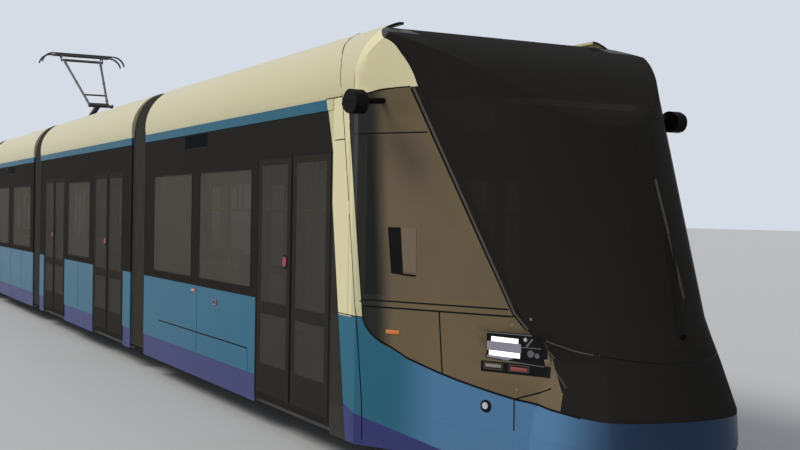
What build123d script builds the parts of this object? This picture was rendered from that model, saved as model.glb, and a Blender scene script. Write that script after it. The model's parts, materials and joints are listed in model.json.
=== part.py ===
"""Five-module low-floor articulated tram, built as separate sub-parts in millimetres.

The origin lies under the middle of the centre module, on the plane that the wheel flanges
stand on. +X points to the leading cab, +Y to its left, +Z up. Heights are worked out from the
rail head, which is one flange depth above that plane. The trailing half of the tram mirrors the
leading half, so each cab and each suspended saloon is built once, for the leading half.
"""
from build123d import *
from math import atan2, cos, degrees, hypot, radians, sin
import os

# Rail, wheels and heights above the rail head
FLANGE_DEPTH = 28.0
RAIL = FLANGE_DEPTH
SKIRT_FOOT = RAIL + 210.0
PANEL_FOOT = RAIL + 460.0
SILL = RAIL + 1170.0
STRIP_FOOT = RAIL + 2780.0
COVE_FOOT = RAIL + 2870.0
ROOF_EDGE = RAIL + 3455.0
ROOF_CROWN = RAIL + 3485.0
WINDOW_FOOT = RAIL + 1245.0
WINDOW_HEAD = RAIL + 2370.0
FLOOR_TOP = RAIL + 350.0
FLOOR_PLATE = 60.0
PODIUM_TOP = RAIL + 470.0
WHEELBOX_TOP = RAIL + 700.0
CEILING = RAIL + 2560.0
DECK = 90.0

# Widths
HALF_WIDTH = 1325.0
WALL = 70.0
SKIN = 20.0
ROOF_FLAT = 950.0
COVE_LIP = 40.0
CASE_HALF = 640.0
FAIRING = 20.0
SEAT_GAP = 0.4
SEAM = 0.8
PASSAGE_HALF = 800.0
PASSAGE_HEAD = RAIL + 2330.0
DOORWAY_HALF = 350.0
DOORWAY_HEAD = RAIL + 2250.0
END_FRAME = 60.0

# Lengths
CENTRE_LENGTH = 4800.0
GAITER_LENGTH = 650.0
SALOON_LENGTH = 6100.0
CAB_SALOON = 5540.0
PILLAR = 380.0
PILLAR_GROOVE = 315.0
CENTRE_END = CENTRE_LENGTH / 2
SALOON_REAR = CENTRE_END + GAITER_LENGTH
SALOON_FRONT = SALOON_REAR + SALOON_LENGTH
CAB_REAR = SALOON_FRONT + GAITER_LENGTH
PILLAR_REAR = CAB_REAR + CAB_SALOON
PILLAR_FRONT = PILLAR_REAR + PILLAR
INNER_PIVOT = CENTRE_END + GAITER_LENGTH / 2
OUTER_PIVOT = SALOON_FRONT + GAITER_LENGTH / 2

# Doors
DOOR_WIDTH = 1640.0
DOOR_FOOT = RAIL + 320.0
DOOR_HEAD = RAIL + 2450.0
DOOR_THICK = 42.0
DOOR_GAP = 5.0
STILE = 110.0
DOOR_RAIL_Z = RAIL + 1030.0
DOOR_RAIL = 130.0
DOOR_TOE = 280.0

# Glass
GLASS = 10.0
REBATE = 30.0

# Gaiters
GAITER_INSET = 25.0
GAITER_WALL = 130.0

# Wheels and bogies
WHEEL_RADIUS = 300.0
FLANGE_RADIUS = WHEEL_RADIUS + FLANGE_DEPTH
AXLE_HEIGHT = RAIL + WHEEL_RADIUS
WHEEL_BACK = 680.0
TYRE_WIDTH = 115.0
FLANGE_WIDTH = 26.0
AXLE_RADIUS = 65.0
JOURNAL_RADIUS = 55.0
JOURNAL_END = 1030.0
BEARING_GAP = 0.3
HALF_WHEELBASE = 925.0
CAB_BOGIE = PILLAR_REAR - 3450.0
BOGIE_BAY = 1330.0
BEAM_Y = 960.0
BEAM_WIDTH = 110.0
AXLEBOX_RADIUS = 125.0
TRANSOM_X = 290.0
SPRING_Y = 460.0
MOTOR_Y = 745.0
MOTOR_RADIUS = 118.0
RAIL_Y = 752.0
BRAKE_HALF = 520.0
DAMPER_Y = 1080.0

# Floor frame and the raised bay over a bogie
SOLE_WIDTH = 90.0
SOLE_DEPTH = 90.0
BEARER_DEPTH = 70.0
BEARER_HALF = 40.0
BEARER_INSET = 200.0
BEARER_PITCH = 900.0
BAY_PLATE = 30.0
PODIUM_HALF = 600.0
SEAT_HALF = 215.0
SEAT_RISE = 100.0
LIGHT_Y = 950.0

# Articulations between modules
KNUCKLE_Z = RAIL + 200.0
KNUCKLE_PLATE = 25.0
KNUCKLE_HALF = 130.0
KNUCKLE_PIN = 45.0
KNUCKLE_GAP = 0.5
KNUCKLE_CLEAR = 6.0
KNUCKLE_REACH = GAITER_LENGTH / 2 + 60
END_BEAM = 60.0
TABLE_RADIUS = 300.0
TABLE_THICK = 14.0
TABLE_HALF = 700.0
TABLE_RISE = 4.0
SWING = 15.0

# Pantograph on the centre module, heights above the rail head
PANTO_PIVOT = (-100.0, RAIL + 3520.0)
PANTO_ELBOW = (1540.0, RAIL + 3935.0)
PANTO_HEAD = (60.0, RAIL + 4930.0)
PANTO_ROD_FOOT = (500.0, RAIL + 3540.0)
PANTO_HEEL = (118.0, -21.0)
ROD_Y = 230.0
ROD_PIN = 12.0
ROD_EYE = 24.0
ROD_EYE_OUTER = 36.0
PANTO_BASE_X = (-560.0, 620.0)
PANTO_BASE_Y = 420.0
PANTO_PIN = 20.0
PANTO_GAP = 0.4
LOWER_TUBE = 48.0
UPPER_TUBE = 22.0
ELBOW_HALF = 170.0
HEAD_HALF = 360.0
HEAD_EAR = 34.0
STRIP_HALF = 560.0
HORN_HALF = 820.0

# Nose, measured forward from the rear edge of the pillar
NOSE_SKIN = 35.0
NOSE_REACH = 3500.0
CORNER_X = 450.0
BELT = RAIL + 1280.0
HEADER = RAIL + 2560.0
GLASS_HEAD = RAIL + 2790.0
# Level above the rail head, A-line corner, quarter point and tip of the plan at that level
NOSE_LEVELS = (
    # (z, corner x, quarter x, quarter y, tip x)
    (210.0, 1800.0, 2480.0, 520.0, 2700.0),
    (460.0, 1800.0, 2560.0, 540.0, 2800.0),
    (690.0, 1850.0, 2550.0, 530.0, 2780.0),
    (1000.0, 1940.0, 2430.0, 490.0, 2640.0),
    (1280.0, 1670.0, 2180.0, 560.0, 2480.0),
    (2890.0, 880.0, 1360.0, 820.0, 1740.0),
    (3530.0, 560.0, 1060.0, 920.0, 1450.0),
)
BULGE = 0.03
SKIRT_JOINT = 1690.0
SKIRT_MIDDLE = 380.0
CHEEK_END_X = 1670.0
CHEEK_END_Y = 700.0
CHEEK_SLOPE = (HALF_WIDTH - CHEEK_END_Y) / (CHEEK_END_X - CORNER_X)
# Visor line in side view: start, then (middle, end) of each arc
VISOR_START = (-50.0, RAIL + 3490.0)
VISOR_ARCS = (
    ((600.0, RAIL + 3340.0), (1250.0, RAIL + 3060.0)),
    ((1560.0, RAIL + 2860.0), (1890.0, RAIL + 2585.0)),
)
# Brow, from the pillar up to the head of the A-line
BROW_FOOT = (PILLAR - 10.0, RAIL + 2795.0)
BROW_ARC = ((520.0, RAIL + 2868.0), (760.0, RAIL + 2897.0))
A_HEAD = (880.0, RAIL + 2897.0)
# Front edge of the cream shoulder, from the head of the A-line up to the crown
SHOULDER_ARC = ((730.0, RAIL + 3200.0), (400.0, RAIL + 3540.0))
SHOULDER_HALF = 900.0
A_LINE = ((1670.0, BELT), (1960.0, RAIL + 1000.0), (2110.0, RAIL + 790.0), (2110.0, 0.0))

# Towing pocket under each nose, and jacking pads under the sole bars
TOW_X = PILLAR_REAR + 2250.0
TOW_HALF = 110.0
TOW_PLATE = 24.0
TOW_HEIGHT = 76.0
TOW_BORE = 26.0
PAD_X = 1500.0
PAD_Y = 1190.0
PAD_HALF = 60.0
PAD_THICK = 20.0

os.makedirs("parts", exist_ok=True)
PARTS = {}


def block(x0, x1, y0, y1, z0, z1):
    """Box between two corners."""
    size = (abs(x1 - x0), abs(y1 - y0), abs(z1 - z0))
    return Pos((x0 + x1) / 2, (y0 + y1) / 2, (z0 + z1) / 2) * Box(*size)


def both(shape):
    """The shape and its mirror image on the other side of the tram."""
    return [shape, shape.mirror(Plane.XZ)]


def outline(points):
    """Closed wire through 3-D points; a nested pair is an arc's middle and end."""
    edges = []
    start = last = points[0]
    for item in points[1:]:
        if isinstance(item[0], tuple):
            edges.append(Edge.make_three_point_arc(last, item[0], item[1]))
            last = item[1]
        else:
            edges.append(Edge.make_line(last, item))
            last = item
    if last != start:
        edges.append(Edge.make_line(last, start))
    return Wire(edges)


def prism(points, direction):
    """Solid from a closed flat outline pushed along a direction."""
    return Solid.extrude(Face(outline(points)), Vector(*direction))


def side_prism(points, y0=-HALF_WIDTH - 50, y1=HALF_WIDTH + 50):
    """Side-view outline of (x, z) points, through the width from y0 to y1."""
    flat = []
    for item in points:
        if isinstance(item[0], tuple):
            flat.append(((item[0][0], y0, item[0][1]), (item[1][0], y0, item[1][1])))
        else:
            flat.append((item[0], y0, item[1]))
    return prism(flat, (0, y1 - y0, 0))


def body_profile(x, inset, foot):
    """Cross-section of the tram at x, drawn in by inset, down to foot."""
    width = HALF_WIDTH - inset
    cove_y = ROOF_FLAT + (width - ROOF_FLAT) * cos(radians(45))
    cove_z = COVE_FOOT + (ROOF_EDGE - inset - COVE_FOOT) * sin(radians(45))
    arch = [
        (x, -width, COVE_FOOT),
        ((x, -cove_y, cove_z), (x, -ROOF_FLAT, ROOF_EDGE - inset)),
        ((x, 0, ROOF_CROWN - inset), (x, ROOF_FLAT, ROOF_EDGE - inset)),
        ((x, cove_y, cove_z), (x, width, COVE_FOOT)),
    ]
    if foot < COVE_FOOT:
        return [(x, -width, foot)] + arch + [(x, width, foot)]
    return arch


def window_cut(x0, x1, z0, z1):
    """Stepped opening in the left wall: clear opening with an outer rebate for the pane."""
    inner_face = HALF_WIDTH - WALL
    clear = block(x0 + REBATE, x1 - REBATE, inner_face - 1, HALF_WIDTH + 1, z0 + REBATE, z1 - REBATE)
    rebate = block(x0, x1, HALF_WIDTH - GLASS - 2, HALF_WIDTH + 1, z0, z1)
    return [clear, rebate]


def pane(x0, x1, z0, z1):
    """Pane for a window_cut of the same size."""
    seat = HALF_WIDTH - GLASS - 2 + SEAT_GAP
    return block(x0 + 2, x1 - 2, seat, seat + GLASS, z0 + 2, z1 - 2)


def side_walls(x0, x1, windows, doors, frames):
    """Both side walls with their openings, and the end frames round the gangway."""
    inner_face = HALF_WIDTH - WALL
    back_face = HALF_WIDTH - SKIN - SEAT_GAP
    wall = block(x0, x1, inner_face, back_face, FLOOR_TOP - FLOOR_PLATE, COVE_FOOT - SEAT_GAP)
    wall += block(x0, x1, inner_face, HALF_WIDTH, SILL + SEAT_GAP, STRIP_FOOT - SEAT_GAP)
    for start, end in windows:
        for cut in window_cut(start, end, WINDOW_FOOT, WINDOW_HEAD):
            wall -= cut
    for middle in doors:
        half = DOOR_WIDTH / 2
        wall += block(middle - half - 30, middle + half + 30, inner_face, HALF_WIDTH,
                      DOOR_FOOT - 60, SILL + 10)
        wall -= block(middle - half, middle + half, inner_face - 1, HALF_WIDTH + 1,
                      DOOR_FOOT, DOOR_HEAD)
    found = both(wall)
    for start in frames:
        end = start + END_FRAME
        found.append(block(start, end, -PASSAGE_HALF + SEAT_GAP, PASSAGE_HALF - SEAT_GAP,
                           PASSAGE_HEAD, CEILING - SEAT_GAP))
        found += both(block(start, end, PASSAGE_HALF, inner_face - SEAT_GAP,
                            FLOOR_TOP + SEAT_GAP, CEILING - SEAT_GAP))
    return found


def door_leaves(middle):
    """Two leaves of one plug door in the left wall, and their four panes."""
    leaves = []
    panes = []
    half = DOOR_WIDTH / 2
    outer = HALF_WIDTH - 1
    for side in (-1, 1):
        near = middle + side * DOOR_GAP / 2
        far = middle + side * (half - SEAT_GAP)
        left, right = min(near, far), max(near, far)
        leaf = block(left, right, outer - DOOR_THICK, outer, DOOR_FOOT + SEAT_GAP, DOOR_HEAD - DOOR_GAP)
        for foot, head in ((DOOR_FOOT + DOOR_TOE, DOOR_RAIL_Z), (DOOR_RAIL_Z + DOOR_RAIL, WINDOW_HEAD)):
            leaf -= block(left + STILE, right - STILE, outer - DOOR_THICK - 1, outer + 1, foot, head)
            leaf -= block(left + STILE - 15, right - STILE + 15, outer - GLASS, outer + 1,
                          foot - 15, head + 15)
            panes.append(block(left + STILE - 13, right - STILE + 13, outer - GLASS + SEAT_GAP,
                               outer - 1, foot - 13, head + 13))
        leaves.append(leaf)
    return leaves, panes


def lower_panels(spans):
    """Blue body-side panels below the windows, left wall."""
    panels = []
    for start, end in spans:
        panels.append(block(start, end, HALF_WIDTH - SKIN, HALF_WIDTH, PANEL_FOOT, SILL))
    return panels


def roof_tub(x0, x1, closed_front=True):
    """Roof well: a deck, the two cove fairings and an arched plate at each closed end."""
    length = x1 - x0
    deck_half = HALF_WIDTH - WALL - SEAT_GAP
    outer = prism(body_profile(x0, 0, COVE_FOOT), (length, 0, 0))
    inner = prism(body_profile(x0 - 1, FAIRING, COVE_FOOT - 10), (length + 2, 0, 0))
    coves = outer - inner
    coves -= block(x0 - 1, x1 + 1, -ROOF_FLAT + COVE_LIP, ROOF_FLAT - COVE_LIP, COVE_FOOT, ROOF_CROWN + 10)
    found = [block(x0, x1, -deck_half, deck_half, CEILING, CEILING + DECK), coves]
    for start in [x0] + ([x1 - FAIRING] if closed_front else []):
        plate = prism(body_profile(start, FAIRING + SEAT_GAP, COVE_FOOT), (FAIRING, 0, 0))
        plate += block(start, start + FAIRING, -deck_half, deck_half, CEILING + DECK + SEAT_GAP, COVE_FOOT + 30)
        found.append(plate)
    return found


def cylinder_y(x, y0, y1, z, radius):
    """Cylinder across the tram from y0 to y1."""
    return Pos(x, (y0 + y1) / 2, z) * Rot(90, 0, 0) * Cylinder(radius, abs(y1 - y0))


def cylinder_z(x, y, z0, z1, radius):
    """Upright cylinder from z0 to z1."""
    return Pos(x, y, (z0 + z1) / 2) * Cylinder(radius, z1 - z0)


def tube(start, end, radius):
    """Round bar between two points."""
    a, b = Vector(*start), Vector(*end)
    plane = Plane(origin=a, z_dir=(b - a).normalized())
    return Solid.extrude(Face(Wire([Edge.make_circle(radius, plane)])), b - a)


def knuckles(pivot, toward):
    """Fork on the carrying side and tongue on the other; toward is the way from fork to tongue."""
    z = KNUCKLE_Z
    tongue_half = 32.0
    beam_foot = FLOOR_TOP - FLOOR_PLATE - BEARER_DEPTH
    beam_top = FLOOR_TOP - FLOOR_PLATE - SEAT_GAP
    beam_half = HALF_WIDTH - WALL - SOLE_WIDTH - 2 * SEAT_GAP
    foot_half = KNUCKLE_HALF + 60
    fork = None
    for z0 in (z - tongue_half - KNUCKLE_GAP - KNUCKLE_PLATE, z + tongue_half + KNUCKLE_GAP):
        plate = block(pivot - toward * KNUCKLE_REACH, pivot, -KNUCKLE_HALF, KNUCKLE_HALF, z0, z0 + KNUCKLE_PLATE)
        plate += cylinder_z(pivot, 0, z0, z0 + KNUCKLE_PLATE, KNUCKLE_HALF)
        fork = plate if fork is None else fork + plate
    back = pivot - toward * KNUCKLE_REACH
    end = back - toward * END_BEAM
    fork += block(back, end, -foot_half, foot_half, z - tongue_half - KNUCKLE_PLATE, beam_top)
    fork += block(back, end, -beam_half, beam_half, beam_foot, beam_top)
    fork += cylinder_z(pivot, 0, z - tongue_half - KNUCKLE_PLATE, z + tongue_half + KNUCKLE_PLATE, KNUCKLE_PIN)
    tongue = block(pivot, pivot + toward * KNUCKLE_REACH, -KNUCKLE_HALF + 30, KNUCKLE_HALF - 30,
                   z - tongue_half, z + tongue_half)
    tongue += cylinder_z(pivot, 0, z - tongue_half, z + tongue_half, KNUCKLE_HALF - 30)
    tongue -= cylinder_z(pivot, 0, z - 100, z + 100, KNUCKLE_PIN + KNUCKLE_GAP)
    front = pivot + toward * KNUCKLE_REACH
    end = front + toward * END_BEAM
    tongue += block(front, end, -foot_half, foot_half, z - tongue_half, beam_top)
    tongue += block(front, end, -beam_half, beam_half, beam_foot, beam_top)
    return fork, tongue


def turntable(pivot, toward):
    """Gangway floor: a round table on the carrying side and the plate that it turns in."""
    z0 = FLOOR_TOP - TABLE_THICK - TABLE_RISE
    z1 = FLOOR_TOP - TABLE_RISE
    half = GAITER_LENGTH / 2 + 2
    slope = TABLE_HALF * sin(radians(SWING / 2 + 1.5))
    base = pivot - toward * half
    table = prism([(base, -TABLE_HALF, z0), (base, TABLE_HALF, z0), (pivot - toward * slope, TABLE_HALF, z0),
                   (pivot, 0, z0), (pivot - toward * slope, -TABLE_HALF, z0)], (0, 0, z1 - z0))
    table = table + cylinder_z(pivot, 0, z0, z1, TABLE_RADIUS)
    base = pivot + toward * half
    plate = prism([(base, -TABLE_HALF, z0), (base, TABLE_HALF, z0), (pivot + toward * slope, TABLE_HALF, z0),
                   (pivot, 0, z0), (pivot + toward * slope, -TABLE_HALF, z0)], (0, 0, z1 - z0))
    plate = plate - cylinder_z(pivot, 0, z0 - 1, z1 + 1, TABLE_RADIUS + KNUCKLE_CLEAR)
    return table, plate


def skirt_run(start, end):
    """Lower valance of the left side with its brackets to the sole bar."""
    plate = block(start, end, HALF_WIDTH - SKIN, HALF_WIDTH - 6, SKIRT_FOOT, PANEL_FOOT - SEAT_GAP)
    count = max(2, int((end - start) / 1200) + 1)
    for index in range(count):
        x = start + 60 + (end - start - 120) * index / (count - 1)
        plate += block(x - 15, x + 15, HALF_WIDTH - WALL + SEAT_GAP, HALF_WIDTH - SKIN + 5,
                       SKIRT_FOOT + 20, FLOOR_TOP - FLOOR_PLATE - SEAT_GAP)
    return plate


def bogie_bay(rear, front):
    """Raised floor over a bogie: podium, wheel boxes and end walls, each one flat panel."""
    half = HALF_WIDTH - WALL - SEAT_GAP
    inner = PODIUM_HALF
    foot = PODIUM_TOP - BAY_PLATE
    top = WHEELBOX_TOP - BAY_PLATE - SEAT_GAP
    panels = [block(rear, front, -inner + BAY_PLATE + SEAT_GAP, inner - BAY_PLATE - SEAT_GAP, foot, PODIUM_TOP)]
    for x in (rear, front - BAY_PLATE):
        panels.append(block(x, x + BAY_PLATE, -inner + BAY_PLATE, inner - BAY_PLATE,
                            FLOOR_TOP + SEAT_GAP, foot - SEAT_GAP))
    for side in (-1, 1):
        panels.append(block(rear, front, side * (inner - BAY_PLATE), side * inner, foot, top))
        panels.append(block(rear, front, side * (inner - BAY_PLATE), side * half,
                            WHEELBOX_TOP - BAY_PLATE, WHEELBOX_TOP))
        for x in (rear, front - BAY_PLATE):
            panels.append(block(x, x + BAY_PLATE, side * (inner + SEAT_GAP), side * half,
                                FLOOR_TOP + SEAT_GAP, top))
    return panels


def jacking_pad(x, side):
    """Square pad under the sole bar, where a workshop jack lifts the body."""
    return block(x - PAD_HALF, x + PAD_HALF, side * (PAD_Y - PAD_HALF), side * (PAD_Y + PAD_HALF),
                 FLOOR_TOP - FLOOR_PLATE - SOLE_DEPTH - SEAT_GAP - PAD_THICK,
                 FLOOR_TOP - FLOOR_PLATE - SOLE_DEPTH - SEAT_GAP)


def floor_frame(x0, x1, bogie, skirts, tables):
    """Floor plates, sole bars and cross bearers, and the raised bay over a bogie if there is one."""
    half = HALF_WIDTH - WALL - SEAT_GAP
    plate_foot = FLOOR_TOP - FLOOR_PLATE
    beam_top = plate_foot - SEAT_GAP
    found = []
    spans = [(x0, x1)]
    if bogie is not None:
        rear, front = bogie - BOGIE_BAY, bogie + BOGIE_BAY
        # The floor plates run on under the end walls of the bay
        spans = [(x0, rear + BAY_PLATE), (front - BAY_PLATE, x1)]
        found += bogie_bay(rear, front)
        for along in (-PAD_X, PAD_X):
            found += [jacking_pad(bogie + along, side) for side in (-1, 1)]
    plates = [block(start, end, -half, half, plate_foot, FLOOR_TOP) for start, end in spans]
    for table in tables:
        near = 0 if table.center().X < (x0 + x1) / 2 else -1
        plates[near] += table
    for start, end in spans:
        for side in (-1, 1):
            found.append(block(start, end, side * (half - SOLE_WIDTH), side * half,
                               plate_foot - SOLE_DEPTH, beam_top))
        inner = half - SOLE_WIDTH - SEAT_GAP
        free = end - start - 2 * BEARER_INSET
        count = max(1, round(free / BEARER_PITCH) + 1)
        for index in range(count):
            x = start + BEARER_INSET + (free * index / (count - 1) if count > 1 else free / 2)
            found.append(block(x - BEARER_HALF, x + BEARER_HALF, -inner, inner,
                               plate_foot - BEARER_DEPTH, beam_top))
    for start, end in skirts:
        found += both(skirt_run(start, end))
    return plates + found


def seat(x, y, facing, foot_z, cushion_z):
    """One passenger seat: a moulded shell with a rounded front edge, on a pedestal."""
    def at(along, up):
        return (x + facing * along, cushion_z + up)
    shell = side_prism([
        at(225, 0), at(-140, -14), (at(-165, -6), at(-178, 18)), at(-235, 520),
        (at(-243, 548), at(-268, 545)), at(-285, 520), at(-222, -30),
        (at(-205, -70), at(-165, -78)), at(195, -62), (at(236, -40), at(225, 0)),
    ], y - SEAT_HALF, y + SEAT_HALF)
    foot = block(x - 120, x + 120, y - 60, y + 60, foot_z + SEAT_GAP, cushion_z - 40)
    return shell + foot


def ceiling_fittings(x0, x1, doors):
    """Luminaires along the ceiling and the cover of each door drive, left side."""
    top = CEILING - SEAT_GAP
    found = [block(x0 + 150, x1 - 150, LIGHT_Y - 60, LIGHT_Y + 60, top - 35, top)]
    for middle in doors:
        found.append(side_prism([
            (middle - DOOR_WIDTH / 2 - 60, DOOR_HEAD + 10), (middle - DOOR_WIDTH / 2 - 60, top),
            (middle + DOOR_WIDTH / 2 + 60, top), (middle + DOOR_WIDTH / 2 + 60, DOOR_HEAD + 10),
        ], HALF_WIDTH - WALL - 130, HALF_WIDTH - WALL - SEAT_GAP))
    return found


def pole(x, y, foot):
    """Hand pole from floor to ceiling."""
    height = CEILING - foot - 2 * SEAT_GAP
    return Pos(x, y, foot + SEAT_GAP + height / 2) * Cylinder(17, height)


def nose_x(x):
    """Tram coordinate of a distance ahead of the pillar's rear edge."""
    return PILLAR_REAR + x


def nose_block(x0, x1, z0, z1, half=1500.0):
    """Full-width box in the nose, with x from the pillar's rear edge."""
    return block(nose_x(x0), nose_x(x1), -half, half, z0, z1)


def nose_prism(points):
    """Side-view outline through the whole nose, with x from the pillar's rear edge."""
    moved = []
    for item in points:
        if isinstance(item[0], tuple):
            moved.append(((nose_x(item[0][0]), item[0][1]), (nose_x(item[1][0]), item[1][1])))
        else:
            moved.append((nose_x(item[0]), item[1]))
    return side_prism(moved)


def nose_plan(level, inset):
    """Closed plan of the nose at one level, drawn in by inset, from the pillar to the tip."""
    z, corner_x, quarter_x, quarter_y, tip_x = level
    z += RAIL
    side = HALF_WIDTH - inset
    corner_y = HALF_WIDTH - (corner_x - CORNER_X) * CHEEK_SLOPE - inset * hypot(1, CHEEK_SLOPE)
    quarter = (nose_x(quarter_x - 0.8 * inset), quarter_y - 0.5 * inset)
    tip = nose_x(tip_x - 1.1 * inset)
    start = nose_x(CORNER_X - inset * 0.23)
    corner = (nose_x(corner_x), corner_y)
    run = (quarter[0] - corner[0], quarter[1] - corner[1])
    middle = (corner[0] + run[0] / 2 - run[1] * BULGE, corner[1] + run[1] / 2 + run[0] * BULGE)
    points = [
        (PILLAR_REAR, side, z),
        (start, side, z),
        (corner[0], corner[1], z),
        ((middle[0], middle[1], z), (quarter[0], quarter[1], z)),
        ((tip, 0, z), (quarter[0], -quarter[1], z)),
        ((middle[0], -middle[1], z), (corner[0], -corner[1], z)),
        (start, -side, z),
        (PILLAR_REAR, -side, z),
    ]
    return outline(points)


def inward(point, inset, forward=0.7, down=0.7):
    """Side-view point drawn in by shares of the inset."""
    return (point[0] - forward * inset, point[1] - down * inset)


def nose_solid(inset):
    """Full nose, drawn in by inset."""
    plans = [nose_plan(level, inset) for level in NOSE_LEVELS]
    body = Solid.make_loft(plans, ruled=True)
    start = inward(VISOR_START, inset, 0, 1)
    first, second = VISOR_ARCS
    crest = inward(first[1], inset, 0.5, 0.85)
    end = inward(second[1], inset, 0.85, 0.5)
    side_view = [
        (start[0], 0), start, (inward(first[0], inset, 0.3, 1), crest),
        (inward(second[0], inset), end), (NOSE_REACH, end[1]), (NOSE_REACH, 0),
    ]
    section = prism(body_profile(nose_x(start[0] + 40), inset, 0), (NOSE_REACH, 0, 0))
    return (body & nose_prism(side_view)) & section


def pieces(shape):
    """Solids of a shape, largest first, without slivers."""
    return [part for part in sorted(shape.solids(), key=lambda s: -s.volume) if part.volume > 1000]


def add(node, shapes, mirrored=None):
    """Store a node, and its mirror image on the trailing half under another name."""
    solids = []
    for shape in shapes:
        solids += pieces(shape) if hasattr(shape, "solids") else [shape]
    PARTS[node] = Compound(children=solids)
    if mirrored:
        PARTS[mirrored] = Compound(children=[part.mirror(Plane.YZ) for part in solids])


# Nose surfaces
NOSE_OUTER = nose_solid(0)
NOSE_INNER = nose_solid(NOSE_SKIN)
NOSE_GLASS = nose_solid(12)
NOSE_SHELL = (NOSE_OUTER - NOSE_INNER) & nose_block(PILLAR + SEAM, NOSE_REACH, 0, 4000)


def shifted(points, back, up):
    """Side-view points moved back and up; nested pairs stay nested."""
    moved = []
    for item in points:
        if isinstance(item[0], tuple):
            moved.append(tuple((x - back, z + up) for x, z in item))
        else:
            moved.append((item[0] - back, item[1] + up))
    return moved


def cheek_region(gap):
    """Side-view region behind the A-line and under the brow, drawn in by gap."""
    edge = shifted([BROW_FOOT, BROW_ARC, A_HEAD] + list(A_LINE), gap, -gap)
    return nose_prism([(0, 0), (0, BROW_FOOT[1] - gap)] + edge)


def cream_region(gap):
    """Region of the cream shoulders above the brow, outside the visor, drawn in by gap."""
    edge = shifted([BROW_FOOT, BROW_ARC, A_HEAD, SHOULDER_ARC], gap, gap)
    above = nose_prism([(0, ROOF_CROWN + 200), (0, BROW_FOOT[1] + gap)] + edge
                       + [(SHOULDER_ARC[1][0] - gap, ROOF_CROWN + 200)])
    return above - nose_block(-100, NOSE_REACH, 0, 4000, half=SHOULDER_HALF + gap)


def blue_region(gap):
    """Side-view region of the blue lower nose, under its curved top edge."""
    return nose_prism([
        (0, 0), (0, SILL - gap), (430, SILL - gap),
        ((505, RAIL + 1080 - gap), (640, RAIL + 1005 - gap)),
        ((1140, RAIL + 820 - gap), (1700, RAIL + 695 - gap)),
        ((2250, RAIL + 655 - gap), (2900, RAIL + 690 - gap)),
        (NOSE_REACH, RAIL + 700 - gap), (NOSE_REACH, 0),
    ])


def skirt_region(gap):
    """Everything below the foot of the blue panels."""
    return nose_block(-100, NOSE_REACH, 0, PANEL_FOOT - gap)


UPPER = NOSE_SHELL - blue_region(-SEAM)
CREAM_CORNERS = UPPER & cream_region(SEAM)
CHEEKS = UPPER & cheek_region(SEAM)
MASK = UPPER - cheek_region(0) - cream_region(0)
BLUE_NOSE = (NOSE_SHELL & blue_region(0)) - skirt_region(0)
SKIRT_WHOLE = (NOSE_SHELL & skirt_region(SEAT_GAP)) & nose_block(0, NOSE_REACH, SKIRT_FOOT, 4000)
SKIRT_NOSE = [SKIRT_WHOLE & nose_block(0, SKIRT_JOINT - SEAM / 2, 0, 4000)]
SKIRT_FRONT = SKIRT_WHOLE & nose_block(SKIRT_JOINT + SEAM / 2, NOSE_REACH, 0, 4000)
for split in (
    block(nose_x(0), nose_x(NOSE_REACH), SKIRT_MIDDLE + SEAM, HALF_WIDTH, 0, PANEL_FOOT),
    block(nose_x(0), nose_x(NOSE_REACH), -SKIRT_MIDDLE, SKIRT_MIDDLE, 0, PANEL_FOOT),
    block(nose_x(0), nose_x(NOSE_REACH), -HALF_WIDTH, -SKIRT_MIDDLE - SEAM, 0, PANEL_FOOT),
):
    SKIRT_NOSE.append(SKIRT_FRONT & split)

# Glass openings of the nose
SCREEN = nose_prism([(NOSE_REACH, RAIL + 1120), (NOSE_REACH, GLASS_HEAD), (1000, GLASS_HEAD),
                     (1760, BELT), (1900, RAIL + 1120)])
CAB_WINDOW = nose_prism([(530, BELT + 75), (530, HEADER - 15), (955, HEADER - 15), (1560, BELT + 75)])
GLASS_SHELL = NOSE_OUTER - NOSE_GLASS

# Lamp units let into the cheeks: distance along the cheek, height, length, depth of face
CHEEK_ANGLE = degrees(atan2(CHEEK_SLOPE, 1))
LAMP_UNITS = (
    (1405.0, RAIL + 1070.0, 480.0, 160.0),
    (1400.0, RAIL + 905.0, 560.0, 75.0),
)
LAMP_DEPTH = 30.0

# Camera pods beside the shoulders
POD_X = PILLAR_REAR + 740.0
POD_Y = 1490.0
POD_Z = RAIL + 2775.0
POD_HALF_LENGTH = 125.0
POD_HALF_HEIGHT = 85.0
POD_HALF_WIDTH = 50.0
POD_ARM_X = PILLAR_REAR + 655.0
POD_ARM_Y = 1200.0


def lamp_blocks(margin):
    """Boxes of the lamp units on both cheeks, grown by margin."""
    found = []
    for side in (-1, 1):
        cheek = Pos(nose_x(CORNER_X), side * HALF_WIDTH, 0) * Rot(0, 0, -side * CHEEK_ANGLE)
        for along, height, length, tall in LAMP_UNITS:
            deep = LAMP_DEPTH * 2 + margin * 2
            box = Box(length + 2 * margin, deep, tall + 2 * margin)
            found.append(cheek * Pos(along, 0, height) * box)
    return found


LAMP_BLOCKS = lamp_blocks(0)
LAMP_POCKETS = lamp_blocks(SEAM)[0]
for pocket in lamp_blocks(SEAM)[1:]:
    LAMP_POCKETS += pocket
LAMPS = [lamp & NOSE_OUTER for lamp in LAMP_BLOCKS]


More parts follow.
